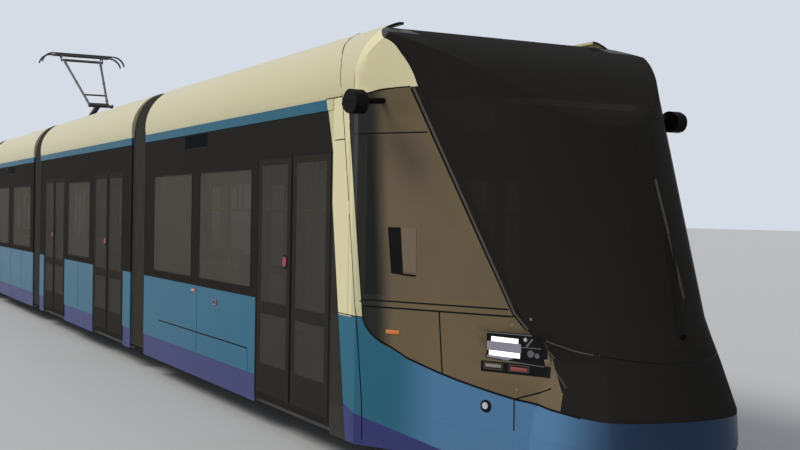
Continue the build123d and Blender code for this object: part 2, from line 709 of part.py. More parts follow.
def cab_module():
    """Leading cab module: saloon with one door a side, pillar and nose."""
    door = PILLAR_REAR - DOOR_WIDTH / 2 - 30
    windows = [(PILLAR_REAR - 5140, PILLAR_REAR - 3660), (PILLAR_REAR - 3400, PILLAR_REAR - 1830)]
    door_rear = door - DOOR_WIDTH / 2 - 30
    walls = side_walls(CAB_REAR, PILLAR_REAR, windows, [door], [CAB_REAR])
    add("cab_a_sides", walls, "cab_b_sides")

    leaves, door_panes = door_leaves(door)
    add("cab_a_doors", [s for leaf in leaves for s in both(leaf)], "cab_b_doors")

    glazing = [pane(start, end, WINDOW_FOOT, WINDOW_HEAD) for start, end in windows] + door_panes
    glass = [s for item in glazing for s in both(item)]
    add("cab_a_glazing", glass + [(GLASS_SHELL & SCREEN) - LAMP_POCKETS, GLASS_SHELL & CAB_WINDOW], "cab_b_glazing")

    panels = [s for item in lower_panels([(CAB_REAR, door_rear - SEAM)]) for s in both(item)]
    strip = block(CAB_REAR, PILLAR_REAR - SEAM, HALF_WIDTH - SKIN, HALF_WIDTH + 6, STRIP_FOOT,
                  COVE_FOOT - SEAT_GAP)
    foot = block(PILLAR_REAR, PILLAR_FRONT, HALF_WIDTH - SKIN, HALF_WIDTH, PANEL_FOOT, SILL - SEAM)
    add("cab_a_panels", panels + both(strip) + both(foot) + [BLUE_NOSE], "cab_b_panels")

    inner_face = HALF_WIDTH - WALL
    post = block(PILLAR_REAR + SEAM, PILLAR_FRONT, inner_face, HALF_WIDTH, SILL, COVE_FOOT - SEAT_GAP)
    groove = PILLAR_REAR + PILLAR_GROOVE
    post -= block(groove - 4, groove + 4, HALF_WIDTH - 8, HALF_WIDTH + 1, SILL - 1, COVE_FOOT + 1)
    tub = roof_tub(CAB_REAR, PILLAR_FRONT, closed_front=False)
    add("cab_a_roof", tub + both(post) + [CREAM_CORNERS], "cab_b_roof")

    add("cab_a_mask", [MASK - SCREEN - LAMP_POCKETS], "cab_b_mask")
    add("cab_a_cheeks", [CHEEKS - CAB_WINDOW - LAMP_POCKETS], "cab_b_cheeks")

    fork, tongue = knuckles(OUTER_PIVOT, -1)
    table, table_seat = turntable(OUTER_PIVOT, -1)
    frame = floor_frame(CAB_REAR, PILLAR_FRONT, CAB_BOGIE, [(CAB_REAR, door_rear)], [table])
    slab = nose_block(PILLAR + SEAT_GAP, NOSE_REACH, FLOOR_TOP - FLOOR_PLATE, FLOOR_TOP)
    cab_floor = nose_solid(NOSE_SKIN + SEAT_GAP) & slab
    foot_wall = block(PILLAR_REAR + SEAM, PILLAR_FRONT, inner_face, HALF_WIDTH - SKIN - SEAT_GAP,
                      SKIRT_FOOT, SILL - SEAT_GAP)
    skirt = block(PILLAR_REAR, PILLAR_FRONT, HALF_WIDTH - SKIN, HALF_WIDTH, SKIRT_FOOT,
                  PANEL_FOOT - SEAT_GAP)
    under = frame + [fork, cab_floor, towing_clevis()] + SKIRT_NOSE
    add("cab_a_underframe", under + both(foot_wall) + both(skirt), "cab_b_underframe")

    low = FLOOR_TOP
    seats = []
    for x in (CAB_BOGIE - 900, CAB_BOGIE - 250, CAB_BOGIE + 400):
        for side in (-1, 1):
            seats.append(seat(x, side * 930, 1, WHEELBOX_TOP, WHEELBOX_TOP + SEAT_RISE))
    poles = [pole(door + dx, side * 700, low) for dx in (-900, 900 - 60) for side in (-1, 1)]
    wall_x = (PILLAR_REAR + 100, PILLAR_REAR + 140)
    bulkhead = [block(*wall_x, -DOORWAY_HALF + SEAT_GAP, DOORWAY_HALF - SEAT_GAP,
                      DOORWAY_HEAD, CEILING - SEAT_GAP)]
    bulkhead += both(block(*wall_x, DOORWAY_HALF, inner_face - 1, low + SEAT_GAP, CEILING - SEAT_GAP))
    desk = nose_solid(NOSE_SKIN + 15) & nose_block(1150, 2600, low + 560, low + 720)
    plinth = nose_block(1250, 1750, low + SEAT_GAP, low + 560 - SEAT_GAP, half=500)
    driver = seat(PILLAR_REAR + 700, 0, 1, low, low + 480)
    binnacle = side_prism([
        (nose_x(1180), low + 720 + SEAT_GAP), (nose_x(1230), low + 840),
        ((nose_x(1330), low + 900), (nose_x(1480), low + 870)), (nose_x(1760), low + 720 + SEAT_GAP),
    ], -420, 420)
    fittings = [s for item in ceiling_fittings(CAB_REAR, PILLAR_REAR, [door]) for s in both(item)]
    add("cab_a_interior", seats + poles + bulkhead + [desk, plinth, driver, binnacle] + fittings,
        "cab_b_interior")

    pods = both(camera_pod())
    add("cab_a_lamps", LAMPS + pods, "cab_b_lamps")


def towing_clevis():
    """Two plates and a web under the cab floor, bored for the pin of a towing bar."""
    top = FLOOR_TOP - FLOOR_PLATE - SEAT_GAP
    middle = (top - TOW_HEIGHT, top - TOW_HEIGHT + TOW_PLATE, top - TOW_PLATE, top)
    clevis = block(TOW_X - TOW_HALF, TOW_X - TOW_HALF + TOW_PLATE, -TOW_HALF, TOW_HALF, middle[0], top)
    for z0, z1 in (middle[:2], middle[2:]):
        clevis += block(TOW_X - TOW_HALF, TOW_X, -TOW_HALF, TOW_HALF, z0, z1)
        clevis += cylinder_z(TOW_X, 0, z0, z1, TOW_HALF)
    return clevis - cylinder_z(TOW_X, 0, middle[0] - 1, top + 1, TOW_BORE)


def camera_pod():
    """Rear-view camera in a drop-shaped housing beside the left shoulder, on a short arm."""
    reach = POD_HALF_LENGTH
    drop = [(POD_X - reach, POD_Z - 10), ((POD_X - 40, POD_Z + POD_HALF_HEIGHT), (POD_X + 70, POD_Z + 70)),
            ((POD_X + reach, POD_Z), (POD_X + 50, POD_Z - POD_HALF_HEIGHT)),
            ((POD_X - 60, POD_Z - 70), (POD_X - reach, POD_Z - 10))]
    housing = side_prism(drop, POD_Y - POD_HALF_WIDTH, POD_Y + POD_HALF_WIDTH)
    arm = tube((POD_X - 50, POD_Y, POD_Z + 10), (POD_ARM_X, POD_ARM_Y, POD_Z + 30), 22)
    arm -= NOSE_OUTER
    return housing + arm


def saloon_module():
    """Leading suspended saloon: two doors a side and one window between them."""
    strip = 375.0
    rear_door = SALOON_REAR + strip + DOOR_WIDTH / 2 + 30
    front_door = SALOON_FRONT - strip - DOOR_WIDTH / 2 - 30
    middle = (SALOON_REAR + SALOON_FRONT) / 2
    windows = [(middle - 740, middle + 740)]
    half = DOOR_WIDTH / 2 + 30 + SEAM
    spans = [(SALOON_REAR, rear_door - half), (rear_door + half, front_door - half),
             (front_door + half, SALOON_FRONT)]
    doors = [rear_door, front_door]
    walls = side_walls(SALOON_REAR, SALOON_FRONT, windows, doors, [SALOON_REAR, SALOON_FRONT - END_FRAME])
    add("saloon_a_sides", walls, "saloon_b_sides")
    leaves, panes = [], []
    for door in doors:
        found, glass = door_leaves(door)
        leaves += found
        panes += glass
    add("saloon_a_doors", [s for leaf in leaves for s in both(leaf)], "saloon_b_doors")
    panes += [pane(start, end, WINDOW_FOOT, WINDOW_HEAD) for start, end in windows]
    add("saloon_a_glazing", [s for item in panes for s in both(item)], "saloon_b_glazing")
    strips = block(SALOON_REAR, SALOON_FRONT, HALF_WIDTH - SKIN, HALF_WIDTH + 6, STRIP_FOOT,
                   COVE_FOOT - SEAT_GAP)
    panels = [s for item in lower_panels(spans) for s in both(item)]
    add("saloon_a_panels", panels + both(strips), "saloon_b_panels")
    add("saloon_a_roof", roof_tub(SALOON_REAR, SALOON_FRONT), "saloon_b_roof")
    inner_table, inner_plate = turntable(INNER_PIVOT, 1)
    outer_table, outer_plate = turntable(OUTER_PIVOT, -1)
    frame = floor_frame(SALOON_REAR, SALOON_FRONT, None, spans, [inner_plate, outer_plate])
    tongues = [knuckles(INNER_PIVOT, 1)[1], knuckles(OUTER_PIVOT, -1)[1]]
    add("saloon_a_underframe", frame + tongues, "saloon_b_underframe")
    seats = [seat(middle + dx, side * 980, 1 if dx > 0 else -1, FLOOR_TOP, FLOOR_TOP + 450)
             for dx in (-450, 450) for side in (-1, 1)]
    poles = [pole(door + dx, side * 700, FLOOR_TOP) for door in doors for dx in (-860, 860)
             for side in (-1, 1)]
    fittings = [s for item in ceiling_fittings(SALOON_REAR, SALOON_FRONT, doors) for s in both(item)]
    add("saloon_a_interior", seats + poles + fittings, "saloon_b_interior")


cab_module()
saloon_module()


def centre_module():
    """Centre module on its own bogie, with two windows a side and no door."""
    windows = [(-CENTRE_END + 300, -CENTRE_END + 2150), (CENTRE_END - 2150, CENTRE_END - 300)]
    walls = side_walls(-CENTRE_END, CENTRE_END, windows, [], [-CENTRE_END, CENTRE_END - END_FRAME])
    add("centre_sides", walls)
    glass = [s for start, end in windows for s in both(pane(start, end, WINDOW_FOOT, WINDOW_HEAD))]
    add("centre_glazing", glass)
    strips = block(-CENTRE_END, CENTRE_END, HALF_WIDTH - SKIN, HALF_WIDTH + 6, STRIP_FOOT,
                   COVE_FOOT - SEAT_GAP)
    panels = [s for item in lower_panels([(-CENTRE_END, CENTRE_END)]) for s in both(item)]
    add("centre_panels", panels + both(strips))
    add("centre_roof", roof_tub(-CENTRE_END, CENTRE_END))
    table = turntable(INNER_PIVOT, 1)[0]
    fork = knuckles(INNER_PIVOT, 1)[0]
    frame = floor_frame(-CENTRE_END, CENTRE_END, 0.0, [(-CENTRE_END, CENTRE_END)],
                        [table, table.mirror(Plane.YZ)])
    add("centre_underframe", frame + [fork, fork.mirror(Plane.YZ)])
    seats = [seat(x, side * 930, 1 if x > 0 else -1, WHEELBOX_TOP, WHEELBOX_TOP + SEAT_RISE)
             for x in (-950, -320, 320, 950) for side in (-1, 1)]
    fittings = [s for item in ceiling_fittings(-CENTRE_END, CENTRE_END, []) for s in both(item)]
    add("centre_interior", seats + fittings)


centre_module()


def wheelset(x):
    """Axle with its two flanged wheels, as one turned solid about the axle's line."""
    tread_edge = WHEEL_BACK + TYRE_WIDTH
    half = [
        (0, 0), (JOURNAL_END, 0), (JOURNAL_END, JOURNAL_RADIUS), (tread_edge + 40, JOURNAL_RADIUS),
        (tread_edge + 40, AXLE_RADIUS + 40), (tread_edge, AXLE_RADIUS + 50),
        (tread_edge - 40, AXLE_RADIUS + 60), (tread_edge - 40, WHEEL_RADIUS - 70),
        (tread_edge, WHEEL_RADIUS - 60), (tread_edge, WHEEL_RADIUS - 6),
        (WHEEL_BACK + FLANGE_WIDTH + 14, WHEEL_RADIUS), (WHEEL_BACK + FLANGE_WIDTH, WHEEL_RADIUS + 12),
        (WHEEL_BACK + FLANGE_WIDTH - 8, FLANGE_RADIUS), (WHEEL_BACK + 6, FLANGE_RADIUS),
        (WHEEL_BACK, FLANGE_RADIUS - 8), (WHEEL_BACK, WHEEL_RADIUS - 60),
        (WHEEL_BACK + 35, WHEEL_RADIUS - 70), (WHEEL_BACK + 35, AXLE_RADIUS + 60),
        (WHEEL_BACK, AXLE_RADIUS + 45), (WHEEL_BACK - 30, AXLE_RADIUS + 40),
        (WHEEL_BACK - 30, AXLE_RADIUS), (0, AXLE_RADIUS),
    ]
    face = Face(outline([(radius, along, 0) for along, radius in half]))
    turned = Solid.revolve(face, 360, Axis.Y)
    body = turned + turned.mirror(Plane.XZ)
    return Pos(x, 0, AXLE_HEIGHT) * body


def cylinder_x(x0, x1, y, z, radius):
    """Cylinder along the tram from x0 to x1."""
    return Pos((x0 + x1) / 2, y, z) * Rot(0, 90, 0) * Cylinder(radius, abs(x1 - x0))


def bogie_frame(x):
    """Outside-framed bogie: side beams with axleboxes, transoms and secondary springs."""
    frame = None
    for side in (-1, 1):
        y0, y1 = side * (BEAM_Y - BEAM_WIDTH / 2), side * (BEAM_Y + BEAM_WIDTH / 2)
        top = AXLE_HEIGHT + 120
        beam = side_prism([
            (x - HALF_WHEELBASE - 160, AXLE_HEIGHT - 40), (x - HALF_WHEELBASE - 160, top - 60),
            (x - HALF_WHEELBASE - 60, top), (x - 520, top), (x - 400, AXLE_HEIGHT + 60),
            (x + 400, AXLE_HEIGHT + 60), (x + 520, top), (x + HALF_WHEELBASE + 60, top),
            (x + HALF_WHEELBASE + 160, top - 60), (x + HALF_WHEELBASE + 160, AXLE_HEIGHT - 40),
            (x + 560, AXLE_HEIGHT - 90), (x - 560, AXLE_HEIGHT - 90),
        ], y0, y1)
        for end in (-1, 1):
            axle = Pos(x + end * HALF_WHEELBASE, side * BEAM_Y, AXLE_HEIGHT) * Rot(90, 0, 0)
            beam += axle * Cylinder(AXLEBOX_RADIUS, BEAM_WIDTH)
            beam -= axle * Cylinder(JOURNAL_RADIUS + BEARING_GAP, BEAM_WIDTH + 10)
        frame = beam if frame is None else frame + beam
    for dx in (-TRANSOM_X, TRANSOM_X):
        frame += block(x + dx - 60, x + dx + 60, -BEAM_Y, BEAM_Y, AXLE_HEIGHT - 60, AXLE_HEIGHT + 60)
        for y in (-SPRING_Y, SPRING_Y):
            foot = AXLE_HEIGHT + 55
            top = PODIUM_TOP - BAY_PLATE - SEAT_GAP
            frame += Pos(x + dx, y, (foot + top) / 2) * Cylinder(85, top - foot)
    return frame


def traction_motor(x, side):
    """Motor along the tram between the transoms, with its cooling ribs and its end covers."""
    y = side * MOTOR_Y
    ends = TRANSOM_X - 60 - SEAT_GAP
    body = cylinder_x(x - ends, x + ends, y, AXLE_HEIGHT, MOTOR_RADIUS - 12)
    for index in range(5):
        rib = x - ends + 25 + index * (2 * ends - 50) / 4
        body += cylinder_x(rib - 9, rib + 9, y, AXLE_HEIGHT, MOTOR_RADIUS)
    return body + block(x - 60, x + 60, y - 55, y + 55, AXLE_HEIGHT, AXLE_HEIGHT + MOTOR_RADIUS + 10)


def track_brake(x, side):
    """Magnetic track brake over the rail, hung from the two transoms."""
    y = side * RAIL_Y
    shoe = side_prism([
        (x - BRAKE_HALF, RAIL + 30), (x - BRAKE_HALF + 30, RAIL + 10), (x + BRAKE_HALF - 30, RAIL + 10),
        (x + BRAKE_HALF, RAIL + 30), (x + BRAKE_HALF, RAIL + 60), (x - BRAKE_HALF, RAIL + 60),
    ], y - 34, y + 34)
    shoe += block(x - BRAKE_HALF + 70, x + BRAKE_HALF - 70, y - 55, y + 55, RAIL + 50, RAIL + 130)
    for dx in (-TRANSOM_X, TRANSOM_X):
        shoe += block(x + dx - 30, x + dx + 30, y - 25, y + 25, RAIL + 120, AXLE_HEIGHT - 60 - SEAT_GAP)
    return shoe


def yaw_damper(x, side):
    """Damper outside the beam, from a bracket on the beam to a bracket on the sole bar."""
    y = side * DAMPER_Y
    z = AXLE_HEIGHT + 10
    face = side * (BEAM_Y + BEAM_WIDTH / 2 + SEAT_GAP)
    damper = cylinder_x(x - 480, x - 60, y, z, 38)
    damper += cylinder_x(x - 80, x + 330, y, z, 20)
    damper += cylinder_x(x - 500, x - 478, y, z, 30)
    damper += block(x - 470, x - 400, face, y, z - 30, z + 30)
    damper += block(x + 270, x + 330, face, y, z - 26, z + 26)
    return damper


BOGIES = (("cab_a", CAB_BOGIE, "cab_b"), ("centre", 0.0, None))
for body, bogie_x, twin in BOGIES:
    gear = [bogie_frame(bogie_x)]
    for side in (-1, 1):
        gear += [traction_motor(bogie_x, side), track_brake(bogie_x, side), yaw_damper(bogie_x, side)]
    add(body + "_bogie", gear, twin and twin + "_bogie")
    for number, offset in ((1, HALF_WHEELBASE), (2, -HALF_WHEELBASE)):
        name = "_wheelset_" + str(number)
        add(body + name, [wheelset(bogie_x + offset)], twin and twin + name)


def gaiter(x0, x1):
    """Bellows between two modules: an arch that follows the body section."""
    length = x1 - x0 - 2 * SEAT_GAP
    outer = prism(body_profile(x0 + SEAT_GAP, GAITER_INSET, SKIRT_FOOT + 60), (length, 0, 0))
    inner = prism(body_profile(x0 - 1, GAITER_INSET + GAITER_WALL, 0), (length + 10, 0, 0))
    return outer - inner


add("gaiter_a_inner", [gaiter(CENTRE_END, SALOON_REAR)], "gaiter_b_inner")
add("gaiter_a_outer", [gaiter(SALOON_FRONT, CAB_REAR)], "gaiter_b_outer")

def insulator(x, y, z0, z1):
    """Ribbed post insulator, turned."""
    rings = 4
    pitch = (z1 - z0) / rings
    points = [(x, y, z0)]
    for index in range(rings):
        z = z0 + index * pitch
        points += [(x + 28, y, z), (x + 28, y, z + pitch * 0.3), (x + 52, y, z + pitch * 0.4),
                   (x + 52, y, z + pitch * 0.6), (x + 28, y, z + pitch * 0.8)]
    points += [(x + 28, y, z1), (x, y, z1)]
    return Solid.revolve(Face(outline(points)), 360, Axis((x, y, 0), (0, 0, 1)))


def pantograph():
    """Single-arm pantograph, raised: base, lower arm, thrust rod, upper arm and head."""
    pivot_x, pivot_z = PANTO_PIVOT
    elbow_x, elbow_z = PANTO_ELBOW
    head_x, head_z = PANTO_HEAD
    rod_x, rod_z = PANTO_ROD_FOOT
    deck = CEILING + DECK
    base_z = RAIL + 3400.0
    rail_tall = 50.0
    base = None
    for side in (-1, 1):
        y0, y1 = side * (PANTO_BASE_Y - 25), side * (PANTO_BASE_Y + 25)
        beam = block(PANTO_BASE_X[0], PANTO_BASE_X[1], y0, y1, base_z, base_z + rail_tall)
        for x in PANTO_BASE_X:
            post_x = x - 25 if x > 0 else x + 25
            beam += block(post_x - 60, post_x + 60, side * (PANTO_BASE_Y - 60), side * (PANTO_BASE_Y + 60),
                          deck + SEAT_GAP, deck + 300)
            beam += insulator(post_x, side * PANTO_BASE_Y, deck + 300, base_z)
        base = beam if base is None else base + beam
    for x in (PANTO_BASE_X[0] + 25, pivot_x, rod_x, PANTO_BASE_X[1] - 25):
        base += block(x - 25, x + 25, -PANTO_BASE_Y, PANTO_BASE_Y, base_z, base_z + rail_tall)
    for side in (-1, 1):
        ear = block(pivot_x - 35, pivot_x + 35, side * 270, side * 290, base_z + 10, pivot_z + 35)
        base += ear
        base += block(rod_x - 30, rod_x + 30, ROD_Y + side * 14, ROD_Y + side * 24, base_z + 10, rod_z + 28)
    base += cylinder_y(pivot_x, -290, 290, pivot_z, PANTO_PIN)
    base += cylinder_y(rod_x, ROD_Y - 24, ROD_Y + 24, rod_z, ROD_PIN)
    add("pantograph_base", [base])

    lower = cylinder_y(pivot_x, -255, 255, pivot_z, LOWER_TUBE + 10)
    lower += tube((pivot_x, 0, pivot_z), (elbow_x, 0, elbow_z), LOWER_TUBE)
    lower += cylinder_y(elbow_x, -ELBOW_HALF + 25, ELBOW_HALF - 25, elbow_z, LOWER_TUBE - 6)
    lower -= cylinder_y(pivot_x, -300, 300, pivot_z, PANTO_PIN + PANTO_GAP)
    lower += cylinder_y(elbow_x, -ELBOW_HALF - 20, ELBOW_HALF + 20, elbow_z, PANTO_PIN)
    add("pantograph_lower_arm", [lower])

    upper = None
    for side in (-1, 1):
        arm = cylinder_y(elbow_x, side * (ELBOW_HALF - 18), side * (ELBOW_HALF + 18), elbow_z, 42)
        arm += tube((elbow_x, side * ELBOW_HALF, elbow_z), (head_x, side * HEAD_HALF, head_z), UPPER_TUBE)
        upper = arm if upper is None else upper + arm
    share = 0.22
    cross_x = elbow_x + (head_x - elbow_x) * share
    cross_z = elbow_z + (head_z - elbow_z) * share
    cross_half = ELBOW_HALF + (HEAD_HALF - ELBOW_HALF) * share
    upper += cylinder_y(cross_x, -cross_half, cross_half, cross_z, UPPER_TUBE - 6)
    upper += cylinder_y(head_x, -HEAD_HALF - 10, HEAD_HALF + 10, head_z, UPPER_TUBE + 4)
    heel_x = elbow_x + PANTO_HEEL[0]
    heel_z = elbow_z + PANTO_HEEL[1]
    upper += tube((elbow_x, ELBOW_HALF, elbow_z), (heel_x, ELBOW_HALF, heel_z), UPPER_TUBE)
    upper += cylinder_y(heel_x, ELBOW_HALF - 26, ELBOW_HALF + 26, heel_z, 29)
    upper += cylinder_y(heel_x, ELBOW_HALF, ROD_Y + 22, heel_z, ROD_PIN)
    upper -= cylinder_y(elbow_x, -300, 300, elbow_z, PANTO_PIN + PANTO_GAP)
    upper += cylinder_y(head_x, -HEAD_HALF - 60, HEAD_HALF + 60, head_z, 12)
    add("pantograph_upper_arm", [upper])

    rod = cylinder_y(rod_x, ROD_Y - 12, ROD_Y + 12, rod_z, 26)
    rod += tube((rod_x, ROD_Y, rod_z), (heel_x, ROD_Y, heel_z), 14)
    rod += cylinder_y(heel_x, ROD_Y - 12, ROD_Y + 12, heel_z, ROD_EYE_OUTER)
    rod -= cylinder_y(rod_x, ROD_Y - 30, ROD_Y + 30, rod_z, ROD_PIN + PANTO_GAP)
    rod -= cylinder_y(heel_x, ROD_Y - 30, ROD_Y + 30, heel_z, ROD_EYE)
    add("pantograph_thrust_rod", [rod])

    head = None
    strip_z = head_z + 95
    for side in (-1, 1):
        ear = cylinder_y(head_x, side * (HEAD_HALF + HEAD_EAR), side * (HEAD_HALF + HEAD_EAR + 18), head_z, 30)
        ear += block(head_x - 14, head_x + 14, side * (HEAD_HALF + HEAD_EAR), side * (HEAD_HALF + HEAD_EAR + 18),
                     head_z, strip_z)
        ear += block(head_x - 170, head_x + 170, side * (HEAD_HALF + HEAD_EAR), side * (HEAD_HALF + HEAD_EAR + 18),
                     strip_z - 30, strip_z)
        head = ear if head is None else head + ear
    for dx in (-150, 150):
        x = head_x + dx
        strip = block(x - 18, x + 18, -STRIP_HALF, STRIP_HALF, strip_z - 5, strip_z + 28)
        for side in (-1, 1):
            points = [(x - 14, side * STRIP_HALF, strip_z), (x - 14, side * STRIP_HALF, strip_z + 24),
                      ((x - 14, side * (STRIP_HALF + 170), strip_z - 20),
                       (x - 14, side * HORN_HALF, strip_z - 165)),
                      (x - 14, side * (HORN_HALF - 22), strip_z - 175),
                      ((x - 14, side * (STRIP_HALF + 150), strip_z - 42), (x - 14, side * STRIP_HALF, strip_z))]
            strip += prism(points, (28, 0, 0))
        head += strip
    head -= cylinder_y(head_x, -500, 500, head_z, 12 + PANTO_GAP)
    add("pantograph_head", [head])


pantograph()


def roof_units(spans):
    """Equipment cases in the roof well, each on its feet, from (start, end, height, fans) rows."""
    deck = CEILING + DECK
    units = []
    for start, end, height, fans in spans:
        top = deck + height
        case = block(start, end, -CASE_HALF, CASE_HALF, deck + 60, top)
        case = fillet(case.edges().filter_by(Axis.X).group_by(Axis.Z)[-1], 60)
        for x in (start + 120, end - 120):
            for y in (-480, 480):
                case += block(x - 50, x + 50, y - 50, y + 50, deck + SEAT_GAP, deck + 65)
        count = max(2, int((end - start) / 420))
        for index in range(count):
            x = start + 125 + (end - start - 250) * index / (count - 1)
            for side in (-1, 1):
                case -= block(x - 90, x + 90, side * (CASE_HALF - 12), side * (CASE_HALF + 5),
                              deck + 130, top - 110)
        for index in range(fans):
            x = start + (end - start) * (index + 0.5) / fans
            case += cylinder_z(x, 0, top - 5, top + 26, 250)
            case -= cylinder_z(x, 0, top + 4, top + 30, 225)
            case += cylinder_z(x, 0, top - 5, top + 22, 60)
        units.append(case)
    return units


ROOF_UNITS = (
    # (node, mirrored node, (start, end, height, fans) rows)
    ("cab_a_roof", "cab_b_roof", ((CAB_REAR + 300, CAB_REAR + 2500, 610, 2),
                                  (CAB_REAR + 2900, CAB_REAR + 4900, 560, 0))),
    ("saloon_a_roof", "saloon_b_roof", ((SALOON_REAR + 300, SALOON_REAR + 2600, 610, 2),
                                        (SALOON_REAR + 3000, SALOON_REAR + 5700, 560, 0))),
    ("centre_roof", None, ((-2200, -1000, 520, 1), (1750, 2250, 480, 0))),
)
for node, twin, rows in ROOF_UNITS:
    add(node, list(PARTS[node].solids()) + roof_units(rows), twin)

for node, shape in PARTS.items():
    export_step(shape, "parts/" + node + ".step")
    print(node, len(shape.solids()))
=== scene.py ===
"""Dressed model of a five-module low-floor tram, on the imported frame, in metres.

The frame's own nodes keep their shapes and get their finishes here. New pieces, such as the
bellows, seals, lamps and seat pads, are built on sizes read from the frame.
"""
from __future__ import annotations

import json
import logging
import math
from dataclasses import dataclass
from enum import Enum
from typing import Callable, Iterable, Sequence

import bmesh
import bpy
from mathutils import Matrix, Vector
from mathutils.bvhtree import BVHTree


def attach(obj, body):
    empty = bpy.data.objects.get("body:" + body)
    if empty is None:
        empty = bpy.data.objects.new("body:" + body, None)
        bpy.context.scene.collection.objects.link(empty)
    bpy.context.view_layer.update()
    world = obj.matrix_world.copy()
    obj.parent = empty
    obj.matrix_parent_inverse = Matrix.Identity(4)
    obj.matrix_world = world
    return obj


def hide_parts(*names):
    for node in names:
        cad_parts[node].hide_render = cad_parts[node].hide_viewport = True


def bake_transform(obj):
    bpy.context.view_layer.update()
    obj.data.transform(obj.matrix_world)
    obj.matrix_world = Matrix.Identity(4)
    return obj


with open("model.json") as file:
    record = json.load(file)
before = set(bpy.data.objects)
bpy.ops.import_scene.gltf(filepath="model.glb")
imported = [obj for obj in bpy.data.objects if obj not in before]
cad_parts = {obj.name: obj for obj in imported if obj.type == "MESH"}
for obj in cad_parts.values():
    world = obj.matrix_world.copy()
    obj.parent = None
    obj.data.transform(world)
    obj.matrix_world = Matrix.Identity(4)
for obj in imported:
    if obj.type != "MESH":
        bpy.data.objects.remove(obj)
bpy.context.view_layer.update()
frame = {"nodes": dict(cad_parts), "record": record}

LOG = logging.getLogger("tram")
Colour = tuple[float, float, float]
Point = tuple[float, float, float]
Pair = tuple[float, float]
Output = bpy.types.NodeSocket

RAIL = 0.028
HALF_WIDTH = 1.325
PANEL_FOOT = RAIL + 0.460
SILL = RAIL + 1.170
STRIP_FOOT = RAIL + 2.780
COVE_FOOT = RAIL + 2.870
ROOF_EDGE = RAIL + 3.455
ROOF_CROWN = RAIL + 3.485
ROOF_FLAT = 0.950
WINDOW_FOOT = RAIL + 1.245
WINDOW_HEAD = RAIL + 2.370
DOOR_WIDTH = 1.640
DOOR_FOOT = RAIL + 0.320
DOOR_HEAD = RAIL + 2.450
CENTRE_END = 2.400
SALOON_REAR = 3.050
SALOON_FRONT = 9.150
CAB_REAR = 9.800
PILLAR_REAR = 15.340
CAB_BOGIE = PILLAR_REAR - 3.450
JOINT_FOOT = RAIL + 0.470
JOINT_HEAD = RAIL + 1.165
SKIRT_JOINT = RAIL + 0.680
SIDES = (-1, 1)
ACROSS = (0.0, 1.0, 0.0)
UP = (0.0, 0.0, 1.0)

BODIES = frame["record"]["behaviour"]["bodies"]


def srgb(red: int, green: int, blue: int) -> Colour:
    """Linear colour of an 8-bit screen colour."""
    found = []
    for level in (red, green, blue):
        share = level / 255
        found.append(share / 12.92 if share <= 0.04045 else ((share + 0.055) / 1.055) ** 2.4)
    return (found[0], found[1], found[2])


def spread(start: float, end: float, count: int) -> list[float]:
    """Values at even steps from start to end, both included."""
    return [start + (end - start) * index / count for index in range(count + 1)]


def around(count: int, shift: float = 0.0) -> list[Pair]:
    """Cosine and sine of even steps round a circle, moved on by a share of a step."""
    angles = [math.tau * (index + shift) / count for index in range(count)]
    return [(math.cos(angle), math.sin(angle)) for angle in angles]


def show(name: str, data: bpy.types.ID) -> bpy.types.Object:
    """Make an object and link it to the scene."""
    thing = bpy.data.objects.new(name, data)
    bpy.context.scene.collection.objects.link(thing)
    return thing


class Nodes:
    """Small builder for the nodes of one material or group."""

    def __init__(self, tree: bpy.types.NodeTree) -> None:
        """Start with an empty tree."""
        self.tree = tree
        tree.nodes.clear()

    def add(self, kind: str, **values: object) -> bpy.types.Node:
        """Add a node.

        Args:
            kind: The node's type name.
            values: Attributes of the node by name.

        Returns:
            The new node.
        """
        node = self.tree.nodes.new(kind)
        for name, value in values.items():
            setattr(node, name, value)
        return node

    def link(self, output: Output, target: bpy.types.NodeSocket) -> None:
        """Join an output to an input."""
        self.tree.links.new(output, target)

    def calc(self, operation: str, *values: Output | float) -> Output:
        """Add a maths node.

        Args:
            operation: Its operation.
            values: Numbers or outputs that feed it, in order.

        Returns:
            Its output.
        """
        node = self.add("ShaderNodeMath", operation=operation)
        for target, value in zip(node.inputs, values):
            if isinstance(value, (int, float)):
                target.default_value = value
            else:
                self.link(value, target)
        return node.outputs[0]


@dataclass(frozen=True)
class PhotoView:
    """Camera at the place from which the photograph was taken."""

    place: tuple[float, float, float] = (23.738, -5.108, 1.989)
    yaw: float = math.radians(27.6)
    pitch: float = math.radians(-0.54)
    roll: float = math.radians(0.91)
    focal_pixels: float = 1159.6
    frame_width: float = 800.0
    sensor: float = 36.0

    def build(self) -> None:
        """Create the camera and make it the scene's own."""
        ahead = Vector((-math.cos(self.yaw) * math.cos(self.pitch),
                        math.sin(self.yaw) * math.cos(self.pitch), math.sin(self.pitch)))
        level = ahead.cross(Vector(UP)).normalized()
        upright = level.cross(ahead)
        right = level * math.cos(self.roll) + upright * math.sin(self.roll)
        above = upright * math.cos(self.roll) - level * math.sin(self.roll)
        lens = bpy.data.cameras.new("photo_view")
        lens.sensor_width = self.sensor
        lens.lens = self.focal_pixels / self.frame_width * self.sensor
        lens.clip_end = 500
        camera = show("photo_view", lens)
        turn = Matrix((right, above, -ahead)).transposed().to_4x4()
        camera.matrix_world = Matrix.Translation(self.place) @ turn
        bpy.context.scene.camera = camera


